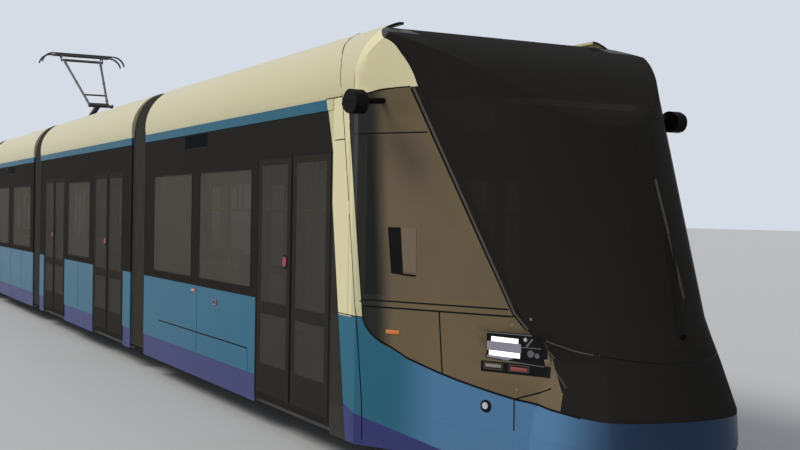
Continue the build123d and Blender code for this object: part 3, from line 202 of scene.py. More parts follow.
@dataclass(frozen=True)
class Studio:
    """Plain pale floor, pale surroundings and soft light."""

    floor_colour: Colour = srgb(196, 196, 194)
    sky_colour: Colour = srgb(214, 220, 230)
    light_colour: Colour = (1.0, 0.985, 0.96)
    sky_strength: float = 0.62
    sun_strength: float = 1.9
    sun_from: tuple[float, float, float] = (-0.30, -0.72, 0.80)
    sun_angle: float = math.radians(24)
    reach: float = 160.0

    def build(self) -> None:
        """Build the floor, the world and the sun."""
        self._floor()
        self._world()
        lamp = bpy.data.lights.new("soft_sun", "SUN")
        lamp.energy = self.sun_strength
        lamp.angle = self.sun_angle
        lamp.color = self.light_colour
        sun = show("soft_sun", lamp)
        sun.rotation_euler = Vector(self.sun_from).to_track_quat("Z", "Y").to_euler()

    def _floor(self) -> None:
        """Build the floor that the wheels stand on."""
        shape = bmesh.new()
        bmesh.ops.create_grid(shape, x_segments=1, y_segments=1, size=self.reach)
        mesh = bpy.data.meshes.new("studio_floor")
        shape.to_mesh(mesh)
        shape.free()
        floor = show("studio_floor", mesh)
        material = bpy.data.materials.new("studio_floor")
        material.use_nodes = True
        nodes = Nodes(material.node_tree)
        shader = nodes.add("ShaderNodeBsdfPrincipled")
        shader.inputs["Base Color"].default_value = (*self.floor_colour, 1)
        shader.inputs["Roughness"].default_value = 0.75
        shader.inputs["Specular IOR Level"].default_value = 0.25
        out = nodes.add("ShaderNodeOutputMaterial")
        nodes.link(shader.outputs["BSDF"], out.inputs["Surface"])
        mesh.materials.append(material)

    def _world(self) -> None:
        """Light the object evenly, and show a pale sky to the camera and in reflections."""
        world = bpy.data.worlds.new("studio_world")
        world.use_nodes = True
        bpy.context.scene.world = world
        nodes = Nodes(world.node_tree)
        light = nodes.add("ShaderNodeBackground")
        light.inputs["Color"].default_value = (*self.sky_colour, 1)
        light.inputs["Strength"].default_value = self.sky_strength
        shown = nodes.add("ShaderNodeBackground")
        shown.inputs["Color"].default_value = (*self.sky_colour, 1)
        shown.inputs["Strength"].default_value = 1.0
        path = nodes.add("ShaderNodeLightPath").outputs
        mirrored = nodes.calc("MAXIMUM", path["Is Glossy Ray"], path["Is Transmission Ray"])
        mix = nodes.add("ShaderNodeMixShader")
        out = nodes.add("ShaderNodeOutputWorld")
        nodes.link(nodes.calc("MAXIMUM", path["Is Camera Ray"], mirrored), mix.inputs["Fac"])
        nodes.link(light.outputs["Background"], mix.inputs[1])
        nodes.link(shown.outputs["Background"], mix.inputs[2])
        nodes.link(mix.outputs["Shader"], out.inputs["Surface"])


class Group(Enum):
    """Shader node groups that several finishes share."""

    PAINT_DRIFT = "paint_drift"
    ROAD_DUST = "road_dust"
    FINE_GRAIN = "fine_grain"
    CAB_LINES_AND_PAINTED_LIGHT = "cab_lines_and_painted_light"


class Mark(Enum):
    """Masks on the cab: its slanting paint lines, and the painted shade and light on its cheeks and nose."""

    DOOR_SIDE = "Door Side"
    PILLAR = "Pillar"
    POST = "Post"
    FRONT = "Front"
    SHADE = "Shade"
    CAP = "Cap"
    MASK = "Mask"
    APRON = "Apron"
    MIDDLE = "Middle"
    PAINTED_NOSE_SHADE = "Painted Nose Shade"
    CORNER = "Corner"


class GroupNodes(Nodes):
    """Builder of one shader node group, with its sockets, its two ends and the object's coordinates."""

    def __init__(self, group: Group, inputs: dict[str, Colour | float], outputs: dict[str, str]) -> None:
        """Start the group.

        Args:
            group: Which group.
            inputs: Default of each input by name; three numbers make a colour.
            outputs: Type of each output by name, Color or Float.
        """
        super().__init__(bpy.data.node_groups.new(group.value, "ShaderNodeTree"))
        sockets = self.tree.interface
        for name, value in inputs.items():
            if isinstance(value, float):
                made = sockets.new_socket(name=name, in_out="INPUT", socket_type="NodeSocketFloat")
                made.default_value = value
            else:
                made = sockets.new_socket(name=name, in_out="INPUT", socket_type="NodeSocketColor")
                made.default_value = (*value, 1)
        for name, kind in outputs.items():
            sockets.new_socket(name=name, in_out="OUTPUT", socket_type="NodeSocket" + kind)
        self.source = self.add("NodeGroupInput").outputs
        self.out = self.add("NodeGroupOutput").inputs
        self.place = self.add("ShaderNodeTexCoord").outputs["Object"]

    def noise(self, **values: float) -> bpy.types.Node:
        """Add a noise on the object's coordinates, with values of its inputs by name."""
        node = self.add("ShaderNodeTexNoise")
        for name, value in values.items():
            node.inputs[name].default_value = value
        self.link(self.place, node.inputs["Vector"])
        return node


def paint_drift_group() -> bpy.types.NodeTree:
    """Broad, faint change of tone over a panel.

    Returns:
        A group from Colour, Strength and Scale to Colour.
    """
    nodes = GroupNodes(Group.PAINT_DRIFT, {"Colour": (0.5, 0.5, 0.5), "Strength": 0.1, "Scale": 1.0},
                       {"Colour": "Color"})
    source = nodes.source
    noise = nodes.noise(Detail=3.0, Roughness=0.55)
    nodes.link(source["Scale"], noise.inputs["Scale"])
    centred = nodes.calc("SUBTRACT", noise.outputs["Fac"], 0.5)
    swing = nodes.calc("MULTIPLY", centred, source["Strength"])
    tone = nodes.add("ShaderNodeHueSaturation")
    nodes.link(nodes.calc("ADD", swing, 1.0), tone.inputs["Value"])
    nodes.link(source["Colour"], tone.inputs["Color"])
    nodes.link(tone.outputs["Color"], nodes.out["Colour"])
    return nodes.tree


def road_dust_group() -> bpy.types.NodeTree:
    """Pale dust that thickens towards the rail, broken up by noise.

    Returns:
        A group from Colour, Dust, Amount, Top and Depth to Colour and Mask.
    """
    nodes = GroupNodes(Group.ROAD_DUST, {"Colour": (0.5, 0.5, 0.5), "Dust": (0.3, 0.28, 0.25),
                                         "Amount": 0.3, "Top": 1.2, "Depth": 1.0},
                       {"Colour": "Color", "Mask": "Float"})
    source = nodes.source
    split = nodes.add("ShaderNodeSeparateXYZ")
    nodes.link(nodes.place, split.inputs[0])
    noise = nodes.noise(Scale=5.0, Detail=5.0)
    below = nodes.calc("SUBTRACT", source["Top"], split.outputs["Z"])
    share = nodes.calc("DIVIDE", below, source["Depth"])
    share.node.use_clamp = True
    cloud = nodes.calc("MULTIPLY", share, noise.outputs["Fac"])
    mask = nodes.calc("MULTIPLY", cloud, source["Amount"])
    mask.node.use_clamp = True
    mix = nodes.add("ShaderNodeMix", data_type="RGBA")
    nodes.link(mask, mix.inputs[0])
    nodes.link(source["Colour"], mix.inputs[6])
    nodes.link(source["Dust"], mix.inputs[7])
    nodes.link(mix.outputs[2], nodes.out["Colour"])
    nodes.link(mask, nodes.out["Mask"])
    return nodes.tree


def fine_grain_group() -> bpy.types.NodeTree:
    """Fine even grain, as a height for a bump and a spread of roughness.

    Returns:
        A group from Scale, Roughness and Spread to Height and Roughness.
    """
    nodes = GroupNodes(Group.FINE_GRAIN, {"Scale": 200.0, "Roughness": 0.4, "Spread": 0.1},
                       {"Height": "Float", "Roughness": "Float"})
    source = nodes.source
    noise = nodes.noise(Detail=2.0)
    nodes.link(source["Scale"], noise.inputs["Scale"])
    centred = nodes.calc("SUBTRACT", nodes.noise(Scale=2.5).outputs["Fac"], 0.5)
    nodes.link(noise.outputs["Fac"], nodes.out["Height"])
    swing = nodes.calc("MULTIPLY_ADD", centred, source["Spread"], source["Roughness"])
    nodes.link(swing, nodes.out["Roughness"])
    return nodes.tree


def cab_lines_and_painted_light_group() -> bpy.types.NodeTree:
    """Slanting paint lines of the cab and its painted shade and light, from the distance ahead of the pillar
    and the height over the rail.

    Returns:
        A group with one output for each Mark, 1 where the mark holds.
    """
    nodes = GroupNodes(Group.CAB_LINES_AND_PAINTED_LIGHT, {}, {mark.value: "Float" for mark in Mark})
    split = nodes.add("ShaderNodeSeparateXYZ")
    nodes.link(nodes.place, split.inputs[0])
    calc = nodes.calc
    ahead = calc("SUBTRACT", calc("ABSOLUTE", split.outputs["X"]), PILLAR_REAR)
    height = calc("SUBTRACT", split.outputs["Z"], RAIL)
    rear = calc("ADD", calc("MAXIMUM", calc("MULTIPLY_ADD", height, -0.166, 0.339), 0.0),
                calc("MINIMUM", calc("MULTIPLY_ADD", height, -0.320, 0.784), 0.0))
    edge = calc("MINIMUM", calc("MULTIPLY_ADD", height, -0.186, 0.793),
                calc("MULTIPLY_ADD", height, -0.0934, 0.623))
    lift = nodes.add("ShaderNodeMapRange")
    lift.inputs["From Min"].default_value = 2.897
    lift.inputs["From Max"].default_value = 3.497
    nodes.link(height, lift.inputs["Value"])
    curve = nodes.add("ShaderNodeFloatCurve")
    points = curve.mapping.curves[0].points
    points[0].location, points[1].location = (0.0, 0.937), (1.0, 0.300)
    for share, reach in ((0.253, 0.868), (0.412, 0.800), (0.573, 0.715), (0.705, 0.545), (0.872, 0.340)):
        points.new(share, reach)
    curve.mapping.update()
    nodes.link(lift.outputs["Result"], curve.inputs["Value"])
    behind = calc("LESS_THAN", ahead, rear)
    on_post = calc("MULTIPLY", calc("GREATER_THAN", ahead, -0.01), calc("LESS_THAN", height, 2.86))
    drop = calc("SUBTRACT", 1.18, height)
    reach = calc("MULTIPLY_ADD", drop, calc("MULTIPLY_ADD", drop, 3.4, 0.2), 0.513)
    above, under_cap = calc("GREATER_THAN", height, 2.897), calc("LESS_THAN", ahead, curve.outputs[0])
    shown = {
        Mark.DOOR_SIDE: calc("MULTIPLY", behind, on_post),
        Mark.PILLAR: calc("SUBTRACT", 1.0, behind),
        Mark.POST: calc("MULTIPLY", calc("LESS_THAN", ahead, edge), calc("GREATER_THAN", height, 1.18)),
        Mark.CORNER: calc("MULTIPLY", calc("LESS_THAN", ahead, reach), calc("GREATER_THAN", drop, 0.0)),
        Mark.FRONT: calc("MULTIPLY", calc("GREATER_THAN", ahead, edge), calc("LESS_THAN", height, 2.74)),
        Mark.CAP: calc("MULTIPLY", above, under_cap),
        Mark.MASK: calc("MULTIPLY", above, calc("SUBTRACT", 1.0, under_cap)),
        Mark.APRON: calc("LESS_THAN", calc("MULTIPLY_ADD", ahead, 0.245, height), 0.553),
    }
    # Painted shade and light: the cheeks darker towards the pillar, the nose blue lighter over its middle and
    # darker towards its front.
    for mark, value, start, end in ((Mark.SHADE, calc("MULTIPLY_ADD", height, 0.05, ahead), 0.84, 0.68),
                                    (Mark.MIDDLE, ahead, 0.75, 1.15), (Mark.PAINTED_NOSE_SHADE, ahead, 1.95, 2.70)):
        fade = nodes.add("ShaderNodeMapRange", interpolation_type="SMOOTHSTEP")
        fade.inputs["From Min"].default_value = start
        fade.inputs["From Max"].default_value = end
        nodes.link(value, fade.inputs["Value"])
        shown[mark] = fade.outputs["Result"]
    for mark, output in shown.items():
        nodes.link(output, nodes.out[mark.value])
    return nodes.tree


GROUP_MAKERS = {
    Group.PAINT_DRIFT: paint_drift_group,
    Group.ROAD_DUST: road_dust_group,
    Group.FINE_GRAIN: fine_grain_group,
    Group.CAB_LINES_AND_PAINTED_LIGHT: cab_lines_and_painted_light_group,
}


def group_node(nodes: Nodes, group: Group, **values: float) -> bpy.types.Node:
    """Place a shared group in a material, with its own values.

    Args:
        nodes: The material's node builder.
        group: Which shared group.
        values: Inputs by name, with spaces as underscores.

    Returns:
        The group node.
    """
    tree = bpy.data.node_groups.get(group.value) or GROUP_MAKERS[group]()
    node = nodes.add("ShaderNodeGroup", node_tree=tree)
    for name, value in values.items():
        node.inputs[name.replace("_", " ")].default_value = value
    return node


@dataclass(frozen=True)
class Finish:
    """A surface finish: colour, gloss, grain, the dirt that settles on it, and marks of the cab's paint lines
    and its painted shade and light.
    """

    name: str
    colour: Colour
    roughness: float = 0.4
    spread: float = 0.1
    metallic: float = 0.0
    coat: float = 0.0
    specular: float = 0.5
    drift: float = 0.08
    drift_scale: float = 0.8
    grain_scale: float = 260.0
    grain_depth: float = 0.0
    dust: float = 0.0
    dust_top: float = 1.3
    dust_depth: float = 1.2
    dust_colour: Colour = srgb(120, 112, 98)
    glow: Colour | None = None
    glow_strength: float = 0.0
    alpha: float = 1.0
    # Masks of the cab's paint lines and of its painted shade and light, each with the colour it gives.
    marks: tuple[tuple[Mark, Colour], ...] = ()

    def material(self) -> bpy.types.Material:
        """Build the finish's material once.

        Returns:
            The material.
        """
        known = bpy.data.materials.get(self.name + "_finish")
        if known:
            return known
        material = bpy.data.materials.new(self.name + "_finish")
        material.use_nodes = True
        nodes = Nodes(material.node_tree)
        shader = nodes.add("ShaderNodeBsdfPrincipled")
        for name, value in (("Metallic", self.metallic), ("Coat Weight", self.coat), ("Coat Roughness", 0.06),
                            ("Specular IOR Level", self.specular), ("Alpha", self.alpha)):
            shader.inputs[name].default_value = value
        if self.glow:
            shader.inputs["Emission Color"].default_value = (*self.glow, 1)
            shader.inputs["Emission Strength"].default_value = self.glow_strength
        drift = group_node(nodes, Group.PAINT_DRIFT, Strength=self.drift, Scale=self.drift_scale)
        drift.inputs["Colour"].default_value = (*self.colour, 1)
        shown = drift.outputs["Colour"]
        lines = group_node(nodes, Group.CAB_LINES_AND_PAINTED_LIGHT) if self.marks else None
        for mark, colour in self.marks:
            mix = nodes.add("ShaderNodeMix", data_type="RGBA")
            mix.inputs[7].default_value = (*colour, 1)
            nodes.link(lines.outputs[mark.value], mix.inputs[0])
            nodes.link(shown, mix.inputs[6])
            shown = mix.outputs[2]
        if self.dust > 0:
            dust = group_node(nodes, Group.ROAD_DUST, Amount=self.dust, Top=self.dust_top,
                              Depth=self.dust_depth)
            dust.inputs["Dust"].default_value = (*self.dust_colour, 1)
            nodes.link(shown, dust.inputs["Colour"])
            shown = dust.outputs["Colour"]
        nodes.link(shown, shader.inputs["Base Color"])
        grain = group_node(nodes, Group.FINE_GRAIN, Scale=self.grain_scale,
                           Roughness=self.roughness, Spread=self.spread)
        nodes.link(grain.outputs["Roughness"], shader.inputs["Roughness"])
        if self.grain_depth > 0:
            bump = nodes.add("ShaderNodeBump")
            bump.inputs["Strength"].default_value = 0.6
            bump.inputs["Distance"].default_value = self.grain_depth
            nodes.link(grain.outputs["Height"], bump.inputs["Height"])
            nodes.link(bump.outputs["Normal"], shader.inputs["Normal"])
        out = nodes.add("ShaderNodeOutputMaterial")
        nodes.link(shader.outputs["BSDF"], out.inputs["Surface"])
        return material


CREAM_COLOUR = srgb(206, 200, 158)
# Lighter than the body's cream: painted light on the cab's cream cap and posts.
LIT_CAP_CREAM = srgb(228, 217, 174)
BLACK_COLOUR = srgb(38, 36, 33)
ULTRAMARINE_COLOUR = srgb(58, 62, 116)
NOSE_COLOUR = srgb(48, 106, 128)
CREAM = Finish("cream_paint", srgb(206, 195, 150), roughness=0.36, coat=0.08, drift=0.06, dust=0.10,
               dust_top=3.0, dust_depth=3.0)
# Its cream is the lighter copy, painted light.
CAB_CREAM = Finish("cab_cream", LIT_CAP_CREAM, roughness=0.40, specular=0.05, drift=0.06,
                   marks=tuple((mark, BLACK_COLOUR) for mark in (Mark.MASK, Mark.FRONT, Mark.DOOR_SIDE)))
TURQUOISE = Finish("turquoise_strip", srgb(30, 94, 116), roughness=0.4, specular=0.1,
                   marks=((Mark.PILLAR, CREAM_COLOUR),))
BLUE = Finish("blue_paint", srgb(38, 103, 130), roughness=0.35, coat=0.08, specular=0.1, drift=0.14,
              dust=0.05, dust_top=1.0, dust_depth=0.8)
ULTRAMARINE = Finish("ultramarine_paint", ULTRAMARINE_COLOUR, roughness=0.4, coat=0.06, specular=0.1,
                     drift=0.12, dust=0.10, dust_top=0.7, dust_depth=0.6,
                     marks=((Mark.DOOR_SIDE, BLACK_COLOUR),))
# Lighter over the nose's middle and darker towards its front: painted light and shade on the one blue paint.
# The ultramarine apron and black door side are paint.
NOSE_BLUE = Finish("nose_blue", NOSE_COLOUR, roughness=0.35, coat=0.05, specular=0.05, drift=0.12, dust=0.10,
                   dust_top=0.9, dust_depth=0.8,
                   marks=((Mark.MIDDLE, srgb(85, 128, 165)), (Mark.PAINTED_NOSE_SHADE, srgb(38, 57, 84)),
                          (Mark.APRON, ULTRAMARINE_COLOUR), (Mark.DOOR_SIDE, BLACK_COLOUR)))
BAND = Finish("black_band", srgb(41, 39, 36), roughness=0.35, specular=0.0, coat=0.03, drift=0.25,
              marks=((Mark.PILLAR, CREAM_COLOUR),))
DOOR_LEAF = Finish("door_black", srgb(50, 47, 43), roughness=0.35, specular=0.0, coat=0.03, drift=0.25)
# Its cream cap takes the cab's lighter cream, painted light.
MASK = Finish("mask_black", BLACK_COLOUR, roughness=0.30, specular=0.0, coat=0.03, drift=0.25,
              marks=((Mark.CAP, LIT_CAP_CREAM),))
POD = Finish("camera_pod", srgb(24, 23, 22), roughness=0.28, specular=0.0, coat=0.10, drift=0.1)
# Pale strips painted as highlights on the mask's rounded edge and lower seams.
PAINTED_MASK_HIGHLIGHT = Finish("painted_mask_highlight", srgb(78, 74, 62), roughness=0.22, specular=0.3, drift=0.1)
CAP = Finish("nose_cap", srgb(128, 116, 92), roughness=0.3, drift=0.05)
LAMP_RIM = Finish("lamp_rim", srgb(62, 44, 32), roughness=0.35, drift=0.05)
# Darker towards the pillar: painted shade on the cheek.
BRONZE = Finish("bronze_trim", srgb(112, 97, 72), roughness=0.34, specular=0.15, drift=0.35, drift_scale=1.5,
                marks=((Mark.SHADE, srgb(38, 38, 34)), (Mark.POST, CREAM_COLOUR), (Mark.CORNER, NOSE_COLOUR)))
GLASS = Finish("tinted_glass", srgb(92, 88, 80), roughness=0.05, spread=0.0, drift=0.3, drift_scale=1.5,
               specular=0.0, coat=0.04, alpha=0.62)
DOOR_GLASS = Finish("door_glass", srgb(77, 74, 69), roughness=0.05, spread=0.0, drift=0.3, drift_scale=1.5,
                    specular=0.0, coat=0.04, alpha=0.66)
# Darker towards the pillar: painted shade on the cheek glass.
BRONZE_GLASS = Finish("bronze_glass", srgb(118, 102, 82), roughness=0.10, spread=0.0, drift=0.4,
                      drift_scale=1.8, specular=0.1, alpha=0.90, marks=((Mark.SHADE, srgb(34, 36, 33)),))
SCREEN_GLASS = Finish("screen_glass", srgb(43, 40, 36), roughness=0.05, spread=0.0, drift=0.3,
                      drift_scale=1.2, specular=0.0, coat=0.04, alpha=0.84)
VENT_PANE = Finish("vent_pane", srgb(124, 108, 90), roughness=0.12, drift=0.1, specular=0.1)
SEALANT = Finish("black_sealant", srgb(20, 20, 20), roughness=0.55, specular=0.05)
GAITER_FRAME = Finish("gaiter_frame", srgb(74, 70, 64), roughness=0.45, dust=0.2)
DISPLAY = Finish("blank_display", srgb(16, 16, 17), roughness=0.2, specular=0.0, coat=0.04, drift=0.0)
CHROME = Finish("lamp_reflector", srgb(120, 120, 126), roughness=0.18, metallic=1.0, drift=0.02)
CLEAR_LAMP = Finish("clear_lamp", srgb(196, 202, 208), roughness=0.1, coat=0.5, drift=0.02)
FOG_LAMP = Finish("fog_lamp", srgb(138, 132, 122), roughness=0.15, coat=0.3, drift=0.1)
LIGHT_BAR = Finish("light_bar", srgb(238, 240, 240), roughness=0.2, drift=0.0,
                   glow=(1.0, 0.98, 0.96), glow_strength=1.1)
LIT_REFLECTOR = Finish("lit_reflector", srgb(150, 144, 158), roughness=0.25, drift=0.3, drift_scale=8.0)
RED_LAMP = Finish("red_lamp", srgb(170, 28, 26), roughness=0.15, coat=0.5, drift=0.04)
TAIL_LAMP = Finish("tail_lamp", srgb(146, 66, 66), roughness=0.15, coat=0.3, drift=0.1)
DOOR_BUTTON = Finish("door_button", srgb(152, 58, 70), roughness=0.3, specular=0.2, drift=0.05)
AMBER_LAMP = Finish("amber_lamp", srgb(226, 122, 36), roughness=0.18, coat=0.5, drift=0.04)
STEEL = Finish("bogie_steel", srgb(62, 60, 58), roughness=0.55, dust=0.6, dust_top=1.0,
               grain_depth=0.0006)
WHEEL = Finish("wheel_steel", srgb(120, 110, 100), roughness=0.42, metallic=0.7, dust=0.3)
RUBBER = Finish("gaiter_rubber", srgb(78, 73, 66), roughness=0.7, specular=0.2, grain_depth=0.0004,
                grain_scale=120)
PANTOGRAPH = Finish("pantograph_steel", srgb(72, 62, 58), roughness=0.5)
CARBON = Finish("carbon_strip", srgb(52, 52, 54), roughness=0.6)
ROOF_DECK = Finish("roof_deck", srgb(120, 118, 112), roughness=0.6)
ROOF_CASE = Finish("roof_case", srgb(150, 150, 146), roughness=0.5)
LAMP_BODY = Finish("lamp_housing", srgb(30, 28, 28), roughness=0.2, specular=0.0, coat=0.06)
INSULATOR = Finish("insulator_glaze", srgb(112, 62, 44), roughness=0.25, coat=0.4)
AXLE_COVER = Finish("axle_cover", srgb(84, 80, 76), roughness=0.5, metallic=0.4, dust=0.5, dust_top=1.0,
                    grain_depth=0.0003)
PIPE = Finish("brake_pipe", srgb(96, 92, 86), roughness=0.4, metallic=0.6, dust=0.4, dust_top=0.8)
DISC = Finish("brake_disc", srgb(104, 98, 94), roughness=0.34, metallic=0.9, dust=0.25, grain_scale=90)
SPRING = Finish("coil_spring", srgb(116, 112, 106), roughness=0.35, metallic=0.7)
GRILLE = Finish("fan_grille", srgb(70, 72, 74), roughness=0.5, metallic=0.5, dust=0.15, dust_top=4.0,
                dust_depth=3.0)
DUCT = Finish("cable_duct", srgb(126, 128, 128), roughness=0.5, metallic=0.4, dust=0.3, dust_top=4.0,
              dust_depth=4.0)
GRIP = Finish("grip_rail", srgb(206, 172, 40), roughness=0.35, coat=0.2, drift=0.05)
DIFFUSER = Finish("light_diffuser", srgb(236, 238, 236), roughness=0.5, drift=0.0, glow=(1.0, 0.98, 0.94),
                  glow_strength=1.6)
FLOOR_COVER = Finish("floor_cover", srgb(92, 94, 98), roughness=0.6, drift=0.25, drift_scale=40.0,
                     grain_depth=0.0002)
LINING = Finish("wall_lining", srgb(196, 196, 190), roughness=0.55, grain_depth=0.0001)
SHELL = Finish("seat_shell", srgb(58, 66, 84), roughness=0.45, grain_depth=0.0001)
DESK = Finish("desk_plastic", srgb(54, 55, 57), roughness=0.6, grain_depth=0.0003)
CLOTH = Finish("seat_cloth", srgb(44, 60, 104), roughness=0.9, spread=0.05, drift=0.5, drift_scale=60.0,
               grain_scale=900.0, grain_depth=0.0006, specular=0.2)


def dress(node: str, choose: Callable[[Vector, Vector], Finish]) -> None:
    """Give a frame node its finishes, face by face.

    Args:
        node: The node's name.
        choose: From a face's middle and normal, its finish.
    """
    mesh = frame["nodes"][node].data
    mesh.materials.clear()
    slots: dict[str, int] = {}
    for face in mesh.polygons:
        finish = choose(face.center, face.normal)
        if finish.name not in slots:
            slots[finish.name] = len(slots)
            mesh.materials.append(finish.material())
        face.material_index = slots[finish.name]
    LOG.info("dressed %s in %s", node, ", ".join(slots))


def panel_finish(middle: Vector, _normal: Vector) -> Finish:
    """Turquoise over the windows, blue below them."""
    if middle.z > STRIP_FOOT - 0.05:
        return TURQUOISE
    return NOSE_BLUE if abs(middle.x) > PILLAR_REAR - 0.005 else BLUE


def underframe_finish(middle: Vector, normal: Vector) -> Finish:
    """Ultramarine on the outer skirts, covering on the floor, dark steel elsewhere."""
    if normal.z > 0.9 and middle.z > RAIL + 0.33:
        return FLOOR_COVER
    if abs(middle.x) > PILLAR_REAR + 0.385 and middle.z < PANEL_FOOT:
        return NOSE_BLUE
    return ULTRAMARINE if abs(middle.y) > HALF_WIDTH - 0.025 else STEEL


def roof_finish(middle: Vector, _normal: Vector) -> Finish:
    """Cream coves and corners, grey deck and cases."""
    if abs(middle.y) < 0.80 and abs(middle.x) < PILLAR_REAR + 0.2:
        return ROOF_CASE if middle.z > RAIL + 2.70 else ROOF_DECK
    return CAB_CREAM if abs(middle.x) > PILLAR_REAR - 0.005 else CREAM


def glass_finish(middle: Vector, _normal: Vector) -> Finish:
    """Bronze glass in the cab cheeks, dark glass in the screen, the side windows and the doors."""
    ahead = abs(middle.x) - PILLAR_REAR
    if ahead < 0.40:
        off_saloon = abs(abs(middle.x) - (SALOON_REAR + SALOON_FRONT) / 2)
        in_saloon = SALOON_REAR < abs(middle.x) < SALOON_FRONT
        return DOOR_GLASS if ahead > -1.70 or (in_saloon and off_saloon > 0.80) else GLASS
    a_line = 0.880 + (RAIL + 2.897 - middle.z) * 0.4886
    return BRONZE_GLASS if ahead < a_line - 0.020 and middle.z > RAIL + 1.30 else SCREEN_GLASS


def sides_finish(middle: Vector, normal: Vector) -> Finish:
    """Black outside, pale lining inside."""
    inward = middle.y * normal.y < -0.1 and abs(middle.y) < HALF_WIDTH - 0.060
    return LINING if inward or abs(middle.y) < HALF_WIDTH - 0.075 else BAND


def interior_finish(middle: Vector, _normal: Vector) -> Finish:
    """Seat shells, poles, desk and linings, told apart by place."""
    across, along = abs(middle.y), abs(middle.x)
    if middle.z > RAIL + 2.30 and across > 0.80:
        return LINING
    if along > PILLAR_REAR + 0.30:
        return SHELL if along < PILLAR_REAR + 1.0 and across < 0.25 else DESK
    if along > PILLAR_REAR:
        return LINING
    if 0.682 < across < 0.718:
        return GRIP
    return SHELL


def lamp_finish(middle: Vector, _normal: Vector) -> Finish:
    """Dark lamp units in the cheeks, black camera pods over them."""
    return POD if middle.z > RAIL + 2.0 else LAMP_BODY


def pantograph_base_finish(middle: Vector, _normal: Vector) -> Finish:
    """Glazed insulators under the painted frame."""
    post = abs(abs(middle.y) - 0.420) < 0.056 and RAIL + 2.951 < middle.z < RAIL + 3.399
    return INSULATOR if post else PANTOGRAPH


def one(finish: Finish) -> Callable[[Vector, Vector], Finish]:
    """The same finish all over."""
    return lambda _middle, _normal: finish


NODE_FINISHES: tuple[tuple[str, Callable[[Vector, Vector], Finish]], ...] = (
    # (end of the node's name, finish by face)
    ("_sides", sides_finish),
    ("_doors", one(DOOR_LEAF)),
    ("_glazing", glass_finish),
    ("_panels", panel_finish),
    ("_roof", roof_finish),
    ("_mask", one(MASK)),
    ("_cheeks", one(BRONZE)),
    ("_underframe", underframe_finish),
    ("_interior", interior_finish),
    ("_lamps", lamp_finish),
    ("_bogie", one(STEEL)),
    ("_wheelset_1", one(WHEEL)),
    ("_wheelset_2", one(WHEEL)),
    ("_inner", one(RUBBER)),
    ("_outer", one(RUBBER)),
    ("pantograph_head", one(CARBON)),
    ("pantograph_base", pantograph_base_finish),
    ("pantograph_lower_arm", one(PANTOGRAPH)),
    ("pantograph_upper_arm", one(PANTOGRAPH)),
    ("pantograph_thrust_rod", one(PANTOGRAPH)),
)


def dress_frame() -> None:
    """Give every frame node its finish."""
    for node in frame["nodes"]:
        for ending, choose in NODE_FINISHES:
            if node.endswith(ending):
                dress(node, choose)
                break


